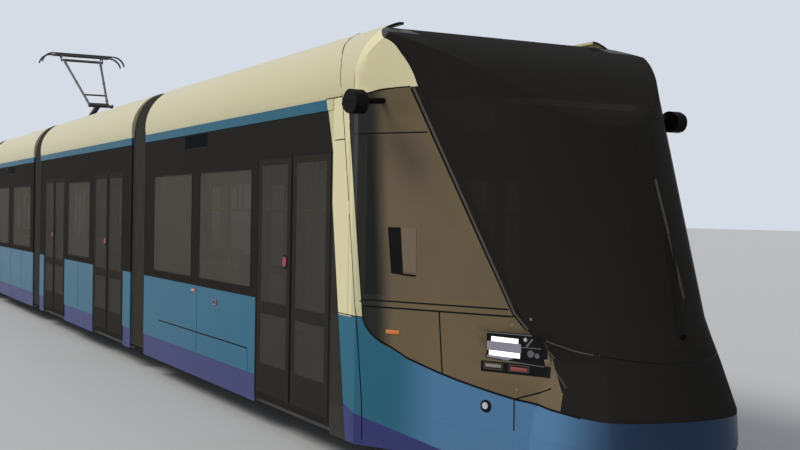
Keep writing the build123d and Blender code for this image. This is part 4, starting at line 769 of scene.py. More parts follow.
class Piece:
    """One new mesh, shaped by bmesh operators in the row frame."""

    def __init__(self) -> None:
        """Start with nothing."""
        self.shape = bmesh.new()

    def box(self, low: Point, high: Point, bevel: float = 0.0, segments: int = 2) -> None:
        """Add a box between two corners, with its edges rounded by bevel."""
        middle = (Vector(low) + Vector(high)) / 2
        size = Vector([abs(b - a) for a, b in zip(low, high)])
        self._block(Matrix.LocRotScale(middle, None, size), bevel, segments)

    def beam(self, start: Point, end: Point, facing: Point, width: float, thick: float,
             bevel: float = 0.0) -> None:
        """Add a flat bar from start to end that stands out along facing.

        Args:
            start: Middle of one end, on the surface.
            end: Middle of the other end, on the surface.
            facing: Way that the bar stands out.
            width: Size across the bar, along the surface.
            thick: Height above the surface; as much again is sunk into it.
            bevel: Rounding of its edges.
        """
        run = Vector(end) - Vector(start)
        along = run.normalized()
        out = Vector(facing).normalized()
        across = out.cross(along).normalized()
        turn = Matrix((along, across, out)).transposed().to_4x4()
        middle = (Vector(start) + Vector(end)) / 2
        size = Matrix.Diagonal((run.length, width, 2 * thick, 1))
        self._block(Matrix.Translation(middle) @ turn @ size, bevel, 2)

    def rod(self, start: Point, end: Point, radius: float, tip: float | None = None,
            sides: int = 20) -> None:
        """Add a round bar or a cone between two points."""
        run = Vector(end) - Vector(start)
        middle = (Vector(start) + Vector(end)) / 2
        matrix = Matrix.Translation(middle) @ run.to_track_quat("Z", "Y").to_matrix().to_4x4()
        bmesh.ops.create_cone(self.shape, cap_ends=True, cap_tris=False, segments=sides,
                              radius1=radius, radius2=radius if tip is None else tip,
                              depth=run.length, matrix=matrix)

    def plate(self, outline: Sequence[Point], push: Point) -> None:
        """Add a flat outline pushed along a direction."""
        self.raised([self.shape.faces.new([self.shape.verts.new(point) for point in outline])], push)

    def raised(self, faces: Sequence[bmesh.types.BMFace], push: Point) -> list[bmesh.types.BMVert]:
        """Extrude faces along a direction.

        Args:
            faces: Faces that are drawn out.
            push: Direction and distance.

        Returns:
            The new corners.
        """
        made = bmesh.ops.extrude_face_region(self.shape, geom=faces, use_keep_orig=True)
        moved = [item for item in made["geom"] if isinstance(item, bmesh.types.BMVert)]
        bmesh.ops.translate(self.shape, verts=moved, vec=Vector(push))
        return moved

    def turned(self, outline: Sequence[Point], centre: Point, axis: Point, steps: int = 32) -> None:
        """Add a solid of revolution from an open outline that starts and ends on the axis."""
        corners = [self.shape.verts.new(point) for point in outline]
        edges = [self.shape.edges.new(pair) for pair in zip(corners, corners[1:])]
        before = set(self.shape.verts)
        bmesh.ops.spin(self.shape, geom=corners + edges, cent=Vector(centre), axis=Vector(axis),
                       angle=math.tau, steps=steps, use_merge=True)
        made = corners + [vertex for vertex in self.shape.verts if vertex not in before]
        bmesh.ops.remove_doubles(self.shape, verts=made, dist=0.00001)

    def hoop(self, centre: Point, axis: Point, radius: float, wire: float, sides: int = 8,
             steps: int = 28) -> None:
        """Add a closed ring of round wire about an axis."""
        around = Vector(axis).normalized()
        outward = around.orthogonal().normalized()
        matrix = (Matrix.Translation(Vector(centre) + outward * radius)
                  @ outward.cross(around).to_track_quat("Z", "Y").to_matrix().to_4x4())
        made = bmesh.ops.create_circle(self.shape, cap_ends=False, segments=sides, radius=wire, matrix=matrix)
        rim = made["verts"]
        edges = list({edge for vertex in rim for edge in vertex.link_edges})
        bmesh.ops.spin(self.shape, geom=rim + edges, cent=Vector(centre), axis=around,
                       angle=math.tau, steps=steps, use_merge=True)

    def ring(self, middle: Point, facing: Point, width: float, height: float, rim: float,
             thick: float, corner: float) -> None:
        """Add an upright frame with rounded corners, such as a window seal.

        Args:
            middle: Middle of the frame, on the surface.
            facing: Level direction that the frame faces.
            width: Outer size along the surface.
            height: Outer size up the surface.
            rim: Width of the frame's own face.
            thick: Height above the surface.
            corner: Radius of the outer corners.
        """
        out = Vector(facing).normalized()
        along = Vector(UP).cross(out).normalized()
        points = []
        for across, up in ((-1, -1), (1, -1), (1, 1), (-1, 1)):
            points.append(Vector(middle) + along * across * width / 2 + Vector((0, 0, up * height / 2)))
        corners = [self.shape.verts.new(point) for point in points]
        self.shape.faces.new(corners)
        bmesh.ops.bevel(self.shape, geom=corners, offset=corner, offset_type="OFFSET", segments=4,
                        profile=0.5, affect="VERTICES", material=-1)
        near = [item for item in self.shape.faces
                if (item.calc_center_median() - Vector(middle)).length < 0.02]
        face = max(near, key=lambda item: item.calc_area())
        inner = bmesh.ops.inset_region(self.shape, faces=[face], thickness=rim, use_even_offset=True,
                                       use_boundary=True)
        bmesh.ops.delete(self.shape, geom=[face], context="FACES_ONLY")
        self.raised(inner["faces"], out * thick)

    def place(self, name: str, finish: Finish, body: str, slot: str, trailing: bool = False,
              smooth: float = 35.0) -> bpy.types.Object:
        """Make the object, on the leading half or mirrored to the trailing half.

        Args:
            name: The piece's name.
            finish: Its finish.
            body: The body that it rides on.
            slot: The record's material slot; not used.
            trailing: Whether to mirror it to the trailing half.
            smooth: Largest angle in degrees between faces that still look smooth.

        Returns:
            The new object.
        """
        thing = self.loose(name, finish, slot, trailing, smooth)
        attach(thing, body)
        return thing

    def fit(self, half: Half, name: str, finish: Finish, slot: str) -> None:
        """Make the object on a half's cab, under the cab's name."""
        self.place(f"{half.cab}_{name}", finish, half.cab, slot, half.trailing)

    def loose(self, name: str, finish: Finish, slot: str, trailing: bool = False,
              smooth: float = 35.0) -> bpy.types.Object:
        """Make the object without a body, as place does."""
        if trailing:
            bmesh.ops.scale(self.shape, vec=Vector((-1, 1, 1)), verts=self.shape.verts[:])
        bmesh.ops.recalc_face_normals(self.shape, faces=self.shape.faces[:])
        mesh = bpy.data.meshes.new(name)
        self.shape.to_mesh(mesh)
        self.shape.free()
        mesh.materials.append(finish.material())
        smooth_mesh(mesh, smooth)
        thing = show(name, mesh)
        LOG.info("built %s, %d faces", name, len(mesh.polygons))
        return thing

    def _block(self, matrix: Matrix, bevel: float, segments: int) -> None:
        """Add a cube under a matrix and round its edges."""
        made = bmesh.ops.create_cube(self.shape, size=1.0, matrix=matrix)
        if bevel > 0:
            edges = list({edge for vertex in made["verts"] for edge in vertex.link_edges})
            bmesh.ops.bevel(self.shape, geom=edges, offset=bevel, offset_type="OFFSET",
                            segments=segments, profile=0.5, affect="EDGES", material=-1,
                            clamp_overlap=True)


def smooth_mesh(mesh: bpy.types.Mesh, angle: float) -> None:
    """Show faces that meet at less than an angle in degrees as one smooth surface."""
    for face in mesh.polygons:
        face.use_smooth = True
    mesh.set_sharp_from_angle(angle=math.radians(angle))


def smooth_node(node: str, angle: float = 24.0) -> None:
    """Show a frame node by a merged copy of its mesh, so that its curves look smooth and its flats flat.

    Args:
        node: The node's name.
        angle: Largest angle in degrees between faces that look smooth.
    """
    original = frame["nodes"][node]
    shape = bmesh.new()
    shape.from_mesh(original.data)
    bmesh.ops.remove_doubles(shape, verts=shape.verts[:], dist=0.00002)
    mesh = bpy.data.meshes.new(node + "_skin")
    shape.to_mesh(mesh)
    shape.free()
    for material in original.data.materials:
        mesh.materials.append(material)
    smooth_mesh(mesh, angle)
    thing = show(node + "_skin", mesh)
    weigh = thing.modifiers.new("weighted_normals", "WEIGHTED_NORMAL")
    weigh.keep_sharp = True
    shown = thing.evaluated_get(bpy.context.evaluated_depsgraph_get())
    thing.data = bpy.data.meshes.new_from_object(shown)
    thing.modifiers.clear()
    body = next(name for name, nodes in BODIES.items() if node in nodes)
    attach(thing, body)
    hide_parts(node)


SMOOTH_NODES = ("_mask", "_cheeks", "_glazing", "_panels", "_roof", "_lamps", "_wheelset_1", "_wheelset_2",
                "_bogie", "_arm", "_rod", "_head", "_base")


@dataclass(frozen=True)
class Half:
    """One half of the tram; the trailing half mirrors the leading one."""

    key: str
    trailing: bool

    @property
    def cab(self) -> str:
        """Body of the half's cab."""
        return "cab_" + self.key

    @property
    def saloon(self) -> str:
        """Body of the half's suspended saloon."""
        return "saloon_" + self.key

    def x(self, along: float) -> float:
        """Row coordinate of a distance along the leading half."""
        return -along if self.trailing else along


HALVES = (Half("a", False), Half("b", True))


@dataclass(frozen=True)
class Bellows:
    """Folded gangway bellows between two modules."""

    foot: float = RAIL + 0.270
    inset: float = 0.025
    lining_inset: float = 0.155
    fold_depth: float = 0.045
    folds: int = 11
    cloth: float = 0.004
    end_frame: float = 0.028
    length: float = 0.650

    def build(self) -> None:
        """Build all four bellows in place of their plain solids."""
        for half in HALVES:
            for start, rear, front, which in (
                (CENTRE_END, "centre", half.saloon, "inner"),
                (SALOON_FRONT, half.saloon, half.cab, "outer"),
            ):
                name = f"gaiter_{half.key}_{which}"
                piece = Piece()
                self._folds(piece, start, self.inset, self.fold_depth)
                self._folds(piece, start, self.lining_inset, -self.fold_depth * 0.45)
                self._hem(piece, start)
                thing = piece.loose(name + "_bellows", RUBBER, "gaiter_rubber", half.trailing, 50)
                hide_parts(name)
                half.x(start + 0.03)
                half.x(start + self.length - 0.03)
                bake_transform(thing)
                for offset, body in ((0.0, rear), (self.length - self.end_frame, front)):
                    self._frame(start + offset, half, body, f"{name}_frame_{body}")

    def _path(self, inset: float) -> list[Point]:
        """Section points from the left foot over the roof to the right foot, at x = 0."""
        width = HALF_WIDTH - inset
        drop = ROOF_EDGE - inset - COVE_FOOT
        points = [(0.0, -width, self.foot), (0.0, -width, SILL), (0.0, -width, COVE_FOOT)]
        for step in range(1, 9):
            angle = math.radians(90 * step / 8)
            points.append((0.0, -ROOF_FLAT - (width - ROOF_FLAT) * math.cos(angle),
                           COVE_FOOT + drop * math.sin(angle)))
        points.append((0.0, 0.0, ROOF_CROWN - inset))
        return points + [(x, -y, z) for x, y, z in reversed(points[:-1])]

    def _folds(self, piece: Piece, start: float, inset: float, depth: float) -> None:
        """Draw the section out along the tram in folds, then give the cloth its thickness."""
        run = self.length - 2 * self.end_frame + 0.01
        corners = [piece.shape.verts.new(point) for point in self._path(inset)]
        edges = [piece.shape.edges.new(pair) for pair in zip(corners, corners[1:])]
        bmesh.ops.translate(piece.shape, verts=corners, vec=Vector((start + self.end_frame - 0.005, 0, 0)))
        pitch = run / self.folds
        inward = 1 - depth / HALF_WIDTH
        middle = Matrix.Translation(Vector((0, 0, -(RAIL + 1.0))))
        faces = []
        for _fold in range(self.folds):
            for share, factor in ((0.34, inward), (0.16, 1.0), (0.34, 1 / inward), (0.16, 1.0)):
                made = bmesh.ops.extrude_edge_only(piece.shape, edges=edges)["geom"]
                edges = [item for item in made if isinstance(item, bmesh.types.BMEdge)
                         and all(vertex in made for vertex in item.verts)
                         and abs(item.verts[0].co.x - item.verts[1].co.x) < 1e-6]
                faces += [item for item in made if isinstance(item, bmesh.types.BMFace)]
                verts = list({vertex for edge in edges for vertex in edge.verts})
                bmesh.ops.translate(piece.shape, verts=verts, vec=Vector((pitch * share, 0, 0)))
                if factor != 1.0:
                    bmesh.ops.scale(piece.shape, verts=verts, vec=Vector((1, factor, factor)), space=middle)
        bmesh.ops.solidify(piece.shape, geom=faces, thickness=self.cloth)

    def _hem(self, piece: Piece, start: float) -> None:
        """Close the space between bellows and lining at both feet."""
        for side in SIDES:
            outer = side * (HALF_WIDTH - self.inset - 0.004)
            inner = side * (HALF_WIDTH - self.lining_inset - 0.002)
            piece.box((start + self.end_frame, min(outer, inner), self.foot + 0.004),
                      (start + self.length - self.end_frame, max(outer, inner), self.foot + 0.012))

    def _frame(self, start: float, half: Half, body: str, name: str) -> None:
        """Metal frame that holds one end of the bellows."""
        piece = Piece()
        outer = self._path(self.inset - 0.002)
        inner = self._path(self.lining_inset + 0.006)
        shape = piece.shape
        rows = [[shape.verts.new((start, y, z)) for _x, y, z in path] for path in (outer, inner)]
        loops = [[shape.edges.new(pair) for pair in zip(row, row[1:])] for row in rows]
        made = bmesh.ops.bridge_loops(shape, edges=loops[0] + loops[1])
        piece.raised(made["faces"], (self.end_frame, 0, 0))
        piece.place(name, GAITER_FRAME, body, "gaiter_rubber", half.trailing, 30)


class Skin:
    """Packed surfaces of some nodes, for laying trim exactly on them."""

    def __init__(self, nodes: Iterable[str]) -> None:
        """Gather the nodes' faces in one search tree."""
        shape = bmesh.new()
        for node in nodes:
            shape.from_mesh(frame["nodes"][node].data)
        self.tree = BVHTree.FromBMesh(shape)
        shape.free()

    def meet(self, start: Point, way: Point) -> tuple[Vector, Vector] | None:
        """First surface point along a ray, and its normal turned back towards the start.

        Args:
            start: Where the ray starts.
            way: Direction of the ray.

        Returns:
            The point and the normal, or None where nothing is met.
        """
        ray = Vector(way).normalized()
        point, normal, _index, _distance = self.tree.ray_cast(Vector(start), ray)
        if point is None:
            return None
        return point, -normal if normal.dot(ray) > 0 else normal

    def beside(self, x: float, z: float, side: int) -> tuple[Vector, Vector] | None:
        """Surface met by a level line from one side."""
        return self.meet((x, side * 4.0, z), (0, -side, 0))

    def ahead(self, y: float, z: float) -> tuple[Vector, Vector] | None:
        """Surface met by a level line from the front."""
        return self.meet((30.0, y, z), (-1, 0, 0))


class Way(Enum):
    """Direction from which a line of trim is laid on the nose."""

    BESIDE = "beside"
    AHEAD = "ahead"


@dataclass(frozen=True)
class Seam:
    """A line laid on the nose: width, points, height over the surface, and where it is laid from."""

    width: float
    points: tuple[Pair, ...]
    proud: float = 0.0012
    way: Way = Way.BESIDE


A_LINE = ((0.880, 2.885), (1.670, 1.280), (1.765, 1.180), (1.960, 1.000), (2.105, 0.795))


@dataclass(frozen=True)
class Nose:
    """Trim, lamps, small fittings and painted highlights of the raked cab, laid on its cheeks and its mask.
    """

    corner_x: float = 0.450
    slope: float = (HALF_WIDTH - 0.700) / (1.670 - 0.450)
    step: float = 0.060
    display_x: float = PILLAR_REAR + 1.300
    display_deep: float = 0.100
    display_half: float = 0.660
    display_foot: float = RAIL + 2.520
    display_head: float = RAIL + 2.770
    pod_rear: float = PILLAR_REAR + 0.618
    pod_y: float = 1.490
    pod_flank: float = 1.5398
    seams: tuple[Seam, ...] = (
        # (width, points as (x from the pillar or y, height over the rail))
        Seam(0.010, ((0.395, 2.565), (1.015, 2.560))),
        Seam(0.011, ((0.500, 1.312), (1.640, 1.312))),
        Seam(0.012, ((0.520, 1.264), (1.672, 1.264))),
        Seam(0.011, ((1.128, 1.262), (1.159, 0.815))),
        Seam(0.009, ((0.156, 2.870), (0.220, 2.536), (0.437, 1.302), (0.458, 1.182),
                     (0.515, 0.551), (0.522, 0.250))),
        Seam(0.007, ((0.300, 2.650), (0.376, 2.240), (0.452, 1.833), (0.513, 1.180))),
        Seam(0.007, ((0.143, 1.182), (0.510, 1.180))),
        Seam(0.012, ((0.437, 1.300), (0.497, 1.298))),
        Seam(0.008, ((-0.085, 2.536), (0.220, 2.536))),
        Seam(0.008, ((-0.141, 2.872), (0.160, 2.872))),
        Seam(0.008, ((0.160, 2.875), (0.145, 2.960), (0.087, 3.117), (0.000, 3.225),
                     (-0.110, 3.316), (-0.170, 3.380), (-0.205, 3.440))),
        Seam(0.010, ((1.700, 0.700), (1.985, 0.805))),
        Seam(0.009, ((1.690, 0.690), (1.690, 0.480))),
        Seam(0.012, A_LINE),
        Seam(0.014, ((0.513, 1.178), (0.540, 1.114), (0.579, 1.065), (0.620, 1.033),
                     (0.669, 1.008), (0.744, 0.976), (0.826, 0.935), (0.880, 0.905),
                     (1.010, 0.862), (1.140, 0.820), (1.280, 0.782), (1.420, 0.750),
                     (1.560, 0.720), (1.700, 0.695), (1.980, 0.668), (2.300, 0.657))),
        Seam(0.009, ((0.385, 2.800), (0.450, 2.836), (0.520, 2.868), (0.640, 2.888),
                     (0.760, 2.897), (0.875, 2.899))),
        Seam(0.008, ((-0.530, 1.072), (-0.490, 1.064), (-0.400, 1.050), (-0.300, 1.038),
                     (-0.180, 1.029), (0.000, 1.026), (0.180, 1.029), (0.300, 1.038),
                     (0.400, 1.050), (0.490, 1.064), (0.530, 1.072)), 0.0016, Way.AHEAD),
        Seam(0.008, ((-0.380, 0.455), (-0.380, 0.220)), way=Way.AHEAD),
        Seam(0.008, ((0.380, 0.455), (0.380, 0.220)), way=Way.AHEAD),
    )
    # Painted highlights: pale strips where light catches the mask's rounded edge and its lower seams.
    edges: tuple[Seam, ...] = (
        Seam(0.020, tuple((x + 0.022, z + 0.004) for x, z in A_LINE[:4]), 0.0008),
        Seam(0.008, ((1.890, 1.134), (1.996, 1.110), (2.085, 1.097), (2.186, 1.079),
                     (2.276, 1.072), (2.385, 1.064)), 0.0014),
        Seam(0.007, ((1.926, 1.106), (1.941, 0.978), (2.034, 0.902), (2.119, 0.841),
                     (2.132, 0.826)), 0.0014),
    )
    studs: tuple[tuple[float, float, float], ...] = (
        # (x from the pillar, height, radius)
        (1.669, 1.206, 0.012), (1.709, 0.762, 0.012), (1.839, 1.259, 0.012),
    )

    def at(self, x: float, height: float, side: int, out: float = 0.0) -> Point:
        """Point on a cheek, at x from the pillar and height over the rail, out from its face."""
        length = math.hypot(1.0, self.slope)
        normal_x, normal_y = self.slope / length, 1.0 / length
        y = HALF_WIDTH - max(0.0, x - self.corner_x) * self.slope
        return (PILLAR_REAR + x + normal_x * out, side * (y + normal_y * out), RAIL + height)

    def normal(self, side: int) -> Point:
        """Outward normal of a cheek."""
        length = math.hypot(1.0, self.slope)
        return (self.slope / length, side / length, 0.0)

    def build(self) -> None:
        """Build the nose fittings of both cabs."""
        skin = Skin("cab_a_" + end for end in ("mask", "cheeks", "panels", "glazing", "roof", "underframe"))
        for half in HALVES:
            self._lay(skin, half, self.seams, "nose_seams", SEALANT)
            # Painted highlights along the mask's edges.
            self._lay(skin, half, self.edges, "painted_mask_highlights", PAINTED_MASK_HIGHLIGHT)
            self._vent(half)
            self._lamps(half)
            self._markers(half)
            self._display(half)
            self._wiper(skin, half)
            self._studs(skin, half)
            self._sensor(half)
            self._pod_lens(half)

    def _lay(self, skin: Skin, half: Half, seams: Iterable[Seam], name: str, finish: Finish) -> None:
        """Lay thin strips along lines of the nose, on both sides.

        Args:
            skin: Surfaces that carry the strips.
            half: Half of the tram.
            seams: Lines to lay.
            name: End of the piece's name.
            finish: Finish of the strips.
        """
        piece = Piece()
        for seam in seams:
            for side in SIDES if seam.way is Way.BESIDE else (1,):
                found = [self._find(skin, seam.way, *point, side) for point in self._spread(seam.points)]
                for first, second in zip(found, found[1:]):
                    if first and second and (second[0] - first[0]).length < 4 * self.step:
                        piece.beam(first[0], second[0], first[1] + second[1], seam.width, seam.proud)
        piece.fit(half, name, finish, "mask_black")

    def _spread(self, points: Sequence[Pair]) -> list[Pair]:
        """Points along a broken line, a step apart."""
        found = [points[0]]
        for start, end in zip(points, points[1:]):
            count = max(1, round(math.dist(start, end) / self.step))
            for index in range(1, count + 1):
                share = index / count
                found.append((start[0] + (end[0] - start[0]) * share, start[1] + (end[1] - start[1]) * share))
        return found

    def _find(self, skin: Skin, way: Way, along: float, height: float,
              side: int) -> tuple[Vector, Vector] | None:
        """Surface of the leading nose under one point of a line, past any joint of the panels there."""
        if way is Way.AHEAD:
            return skin.ahead(along, RAIL + height)
        best = skin.beside(PILLAR_REAR + along, RAIL + height, side)
        for lift in (0.004, -0.004):
            other = skin.beside(PILLAR_REAR + along, RAIL + height + lift, side)
            if other and (best is None or abs(other[0].y) > abs(best[0].y) + 0.003):
                best = (Vector((other[0].x, other[0].y, RAIL + height)), other[1])
        return best

    def _vent(self, half: Half) -> None:
        """Sliding vent in each cab side window: a black plate as painted shade in the open slot, the pane
        slid forward, and its sill.
        """
        slot, pane = Piece(), Piece()
        for side in SIDES:
            push = Vector(self.normal(side)) * 0.0015
            # The first black plate is painted shade in the open slot; the thin one under it is the sill.
            for piece, outline in (
                (slot, ((0.712, 1.863), (0.814, 1.862), (0.840, 1.512), (0.745, 1.522))),
                (slot, ((0.840, 1.524), (0.944, 1.516), (0.944, 1.504), (0.840, 1.510))),
                (pane, ((0.822, 1.861), (0.941, 1.860), (0.944, 1.530), (0.846, 1.532))),
            ):
                piece.plate([self.at(x, height, side, 0.0002) for x, height in outline], push)
        slot.fit(half, "vent_shade_and_sill", SEALANT, "mask_black")
        pane.fit(half, "vent_panes", VENT_PANE, "tinted_glass")

    def _lamps(self, half: Half) -> None:
        """Light bars, projectors, fog and tail lamps in the cheek lamp units."""
        bars, bezels, clear, fog, tail, rims = Piece(), Piece(), Piece(), Piece(), Piece(), Piece()
        glass, lit = Piece(), Piece()
        for side in SIDES:
            facing = self.normal(side)
            push = Vector(facing) * 0.0012
            for piece, outline in (
                (glass, ((1.480, 0.990), (1.890, 0.990), (1.900, 0.936), (1.600, 0.955), (1.480, 0.968))),
                (lit, ((1.490, 1.084), (1.730, 1.080), (1.735, 1.018), (1.490, 1.022))),
                (lit, ((1.490, 0.984), (1.690, 0.980), (1.640, 0.960), (1.490, 0.972))),
            ):
                start = 0.0002 if piece is glass else 0.0016
                piece.plate([self.at(x, height, side, start) for x, height in outline], push)
            bars.beam(self.at(1.520, 1.101, side), self.at(1.712, 1.096, side), facing, 0.034, 0.0035, 0.003)
            bars.beam(self.at(1.505, 1.003, side), self.at(1.725, 0.997, side), facing, 0.036, 0.0035, 0.003)
            for x0, z0, x1, z1, width in (
                (1.480, 1.143, 1.850, 1.143, 0.007), (1.480, 1.062, 1.870, 1.058, 0.006),
                (1.600, 0.958, 1.895, 0.938, 0.006), (1.770, 1.066, 1.812, 1.120, 0.014),
            ):
                bezels.beam(self.at(x0, z0, side), self.at(x1, z1, side), facing, width, 0.002)
            for x, height, radius in ((1.762, 1.112, 0.014), (1.800, 1.018, 0.022), (1.845, 1.008, 0.015)):
                start = self.at(x, height, side, 0.0003)
                bezels.rod(start, self.at(x, height, side, 0.004), radius + 0.006, radius + 0.003, 28)
                if radius < 0.0145:
                    clear.rod(start, self.at(x, height, side, 0.006), radius, radius * 0.72, 28)
            fog.beam(self.at(1.480, 0.912, side), self.at(1.595, 0.912, side), facing, 0.024, 0.004, 0.003)
            tail.beam(self.at(1.660, 0.906, side), self.at(1.780, 0.904, side), facing, 0.026, 0.004, 0.003)
            for x0, x1 in ((1.466, 1.609), (1.646, 1.794)):
                middle = self.at((x0 + x1) / 2, 0.910, side)
                rims.ring(middle, facing, (x1 - x0) * 1.12, 0.050, 0.009, 0.003, 0.006)
        for piece, what, finish in ((bars, "light_bars", LIGHT_BAR), (bezels, "lamp_bezels", CHROME),
                                    (glass, "lamp_covers", LAMP_BODY), (lit, "lit_reflectors", LIT_REFLECTOR),
                                    (clear, "clear_lamps", CLEAR_LAMP), (fog, "fog_lamps", FOG_LAMP),
                                    (tail, "tail_lamps", TAIL_LAMP), (rims, "lamp_rims", LAMP_RIM)):
            piece.fit(half, what, finish, "lamp_housing")

    def _markers(self, half: Half) -> None:
        """Amber side markers on the cheeks and the body."""
        piece = Piece()
        for side in SIDES:
            piece.beam(self.at(0.71, 1.085, side), self.at(0.82, 1.085, side), self.normal(side),
                       0.030, 0.005, 0.003)
            y = side * HALF_WIDTH
            piece.beam((PILLAR_REAR - 3.635, y, RAIL + 1.116), (PILLAR_REAR - 3.525, y, RAIL + 1.116),
                       (0, side, 0), 0.028, 0.005, 0.003)
        piece.fit(half, "amber_markers", AMBER_LAMP, "lamp_housing")

    def _display(self, half: Half) -> None:
        """Blank destination display behind the head of the screen, in its case."""
        piece, glass = Piece(), Piece()
        face, half_width = self.display_x + self.display_deep, self.display_half
        foot, head = self.display_foot, self.display_head
        piece.box((self.display_x, -half_width, foot), (face, half_width, head), 0.010)
        for z in (foot + 0.030, head - 0.030):
            piece.box((face, -half_width + 0.020, z - 0.008), (face + 0.012, half_width - 0.020, z + 0.008),
                      0.003)
        glass.box((face - 0.002, -half_width + 0.040, foot + 0.040),
                  (face + 0.004, half_width - 0.040, head - 0.040), 0.002)
        piece.fit(half, "display_case", SEALANT, "interior_trim")
        glass.fit(half, "front_display", DISPLAY, "interior_trim")

    def _wiper(self, skin: Skin, half: Half) -> None:
        """Screen wiper parked upright, with its spindle, its arm and its blade on the glass."""
        arm, blade = Piece(), Piece()
        path = [skin.ahead(y, RAIL + height) for y, height in
                ((0.060, 1.190), (0.110, 1.400), (0.160, 1.620), (0.205, 1.840))]
        if all(path):
            spots = [point + normal * 0.030 for point, normal in path]
            for start, end in zip(spots, spots[1:]):
                arm.rod(start, end, 0.008, 0.006, 12)
            foot, normal = path[0]
            arm.rod(foot - normal * 0.004, foot + normal * 0.040, 0.026, 0.018, 24)
            low = skin.ahead(0.185, RAIL + 1.420)
            middle = skin.ahead(0.215, RAIL + 1.840)
            high = skin.ahead(0.240, RAIL + 2.230)
            for start, end in ((low, middle), (middle, high)):
                if start and end:
                    blade.beam(start[0], end[0], start[1] + end[1], 0.012, 0.014, 0.003)
            arm.rod(spots[-1], middle[0] + middle[1] * 0.012, 0.006, 0.005, 12)
        arm.fit(half, "wiper_arm", SEALANT, "mask_black")
        blade.fit(half, "wiper_blade", RUBBER, "mask_black")

    def _studs(self, skin: Skin, half: Half) -> None:
        """Small round caps on the cheeks and the mask."""
        piece = Piece()
        for side in SIDES:
            for x, height, radius in self.studs:
                found = skin.beside(PILLAR_REAR + x, RAIL + height, side)
                if found:
                    point, normal = found
                    piece.rod(point - normal * 0.001, point + normal * 0.004, radius, radius * 0.8, 24)
        piece.fit(half, "nose_caps", CAP, "mask_black")

    def _sensor(self, half: Half) -> None:
        """Round lamp in the blue lower nose, left and right, in its raised black ring; the ring sits a little
        ahead of and below the lens, as painted shadow in the recess.
        """
        piece, lens = Piece(), Piece()
        for side in SIDES:
            # A real ring, set off towards the front and down so that it also paints the recess's shadow on
            # that side.
            for made, x, height, back, front, radius, tip, steps in (
                (piece, 1.488, 0.624, -0.002, 0.005, 0.047, 0.040, 36),
                (lens, 1.484, 0.626, 0.002, 0.008, 0.027, 0.022, 28),
            ):
                made.rod(self.at(x, height, side, back), self.at(x, height, side, front), radius, tip, steps)
        piece.fit(half, "side_sensors", SEALANT, "mask_black")
        lens.fit(half, "sensor_lenses", CLEAR_LAMP, "lamp_housing")

    def _pod_lens(self, half: Half) -> None:
        """Lens and shroud at the rear of each camera pod."""
        piece = Piece()
        for side in SIDES:
            rear, y, flank = self.pod_rear, side * self.pod_y, side * self.pod_flank
            piece.rod((rear + 0.020, y, RAIL + 2.770), (rear - 0.006, y, RAIL + 2.768), 0.022, 0.016, 24)
            piece.beam((rear + 0.042, flank, RAIL + 2.775), (rear + 0.222, flank, RAIL + 2.780),
                       (0, side, 0), 0.004, 0.0008)
        piece.fit(half, "camera_lenses", DISPLAY, "lamp_housing")


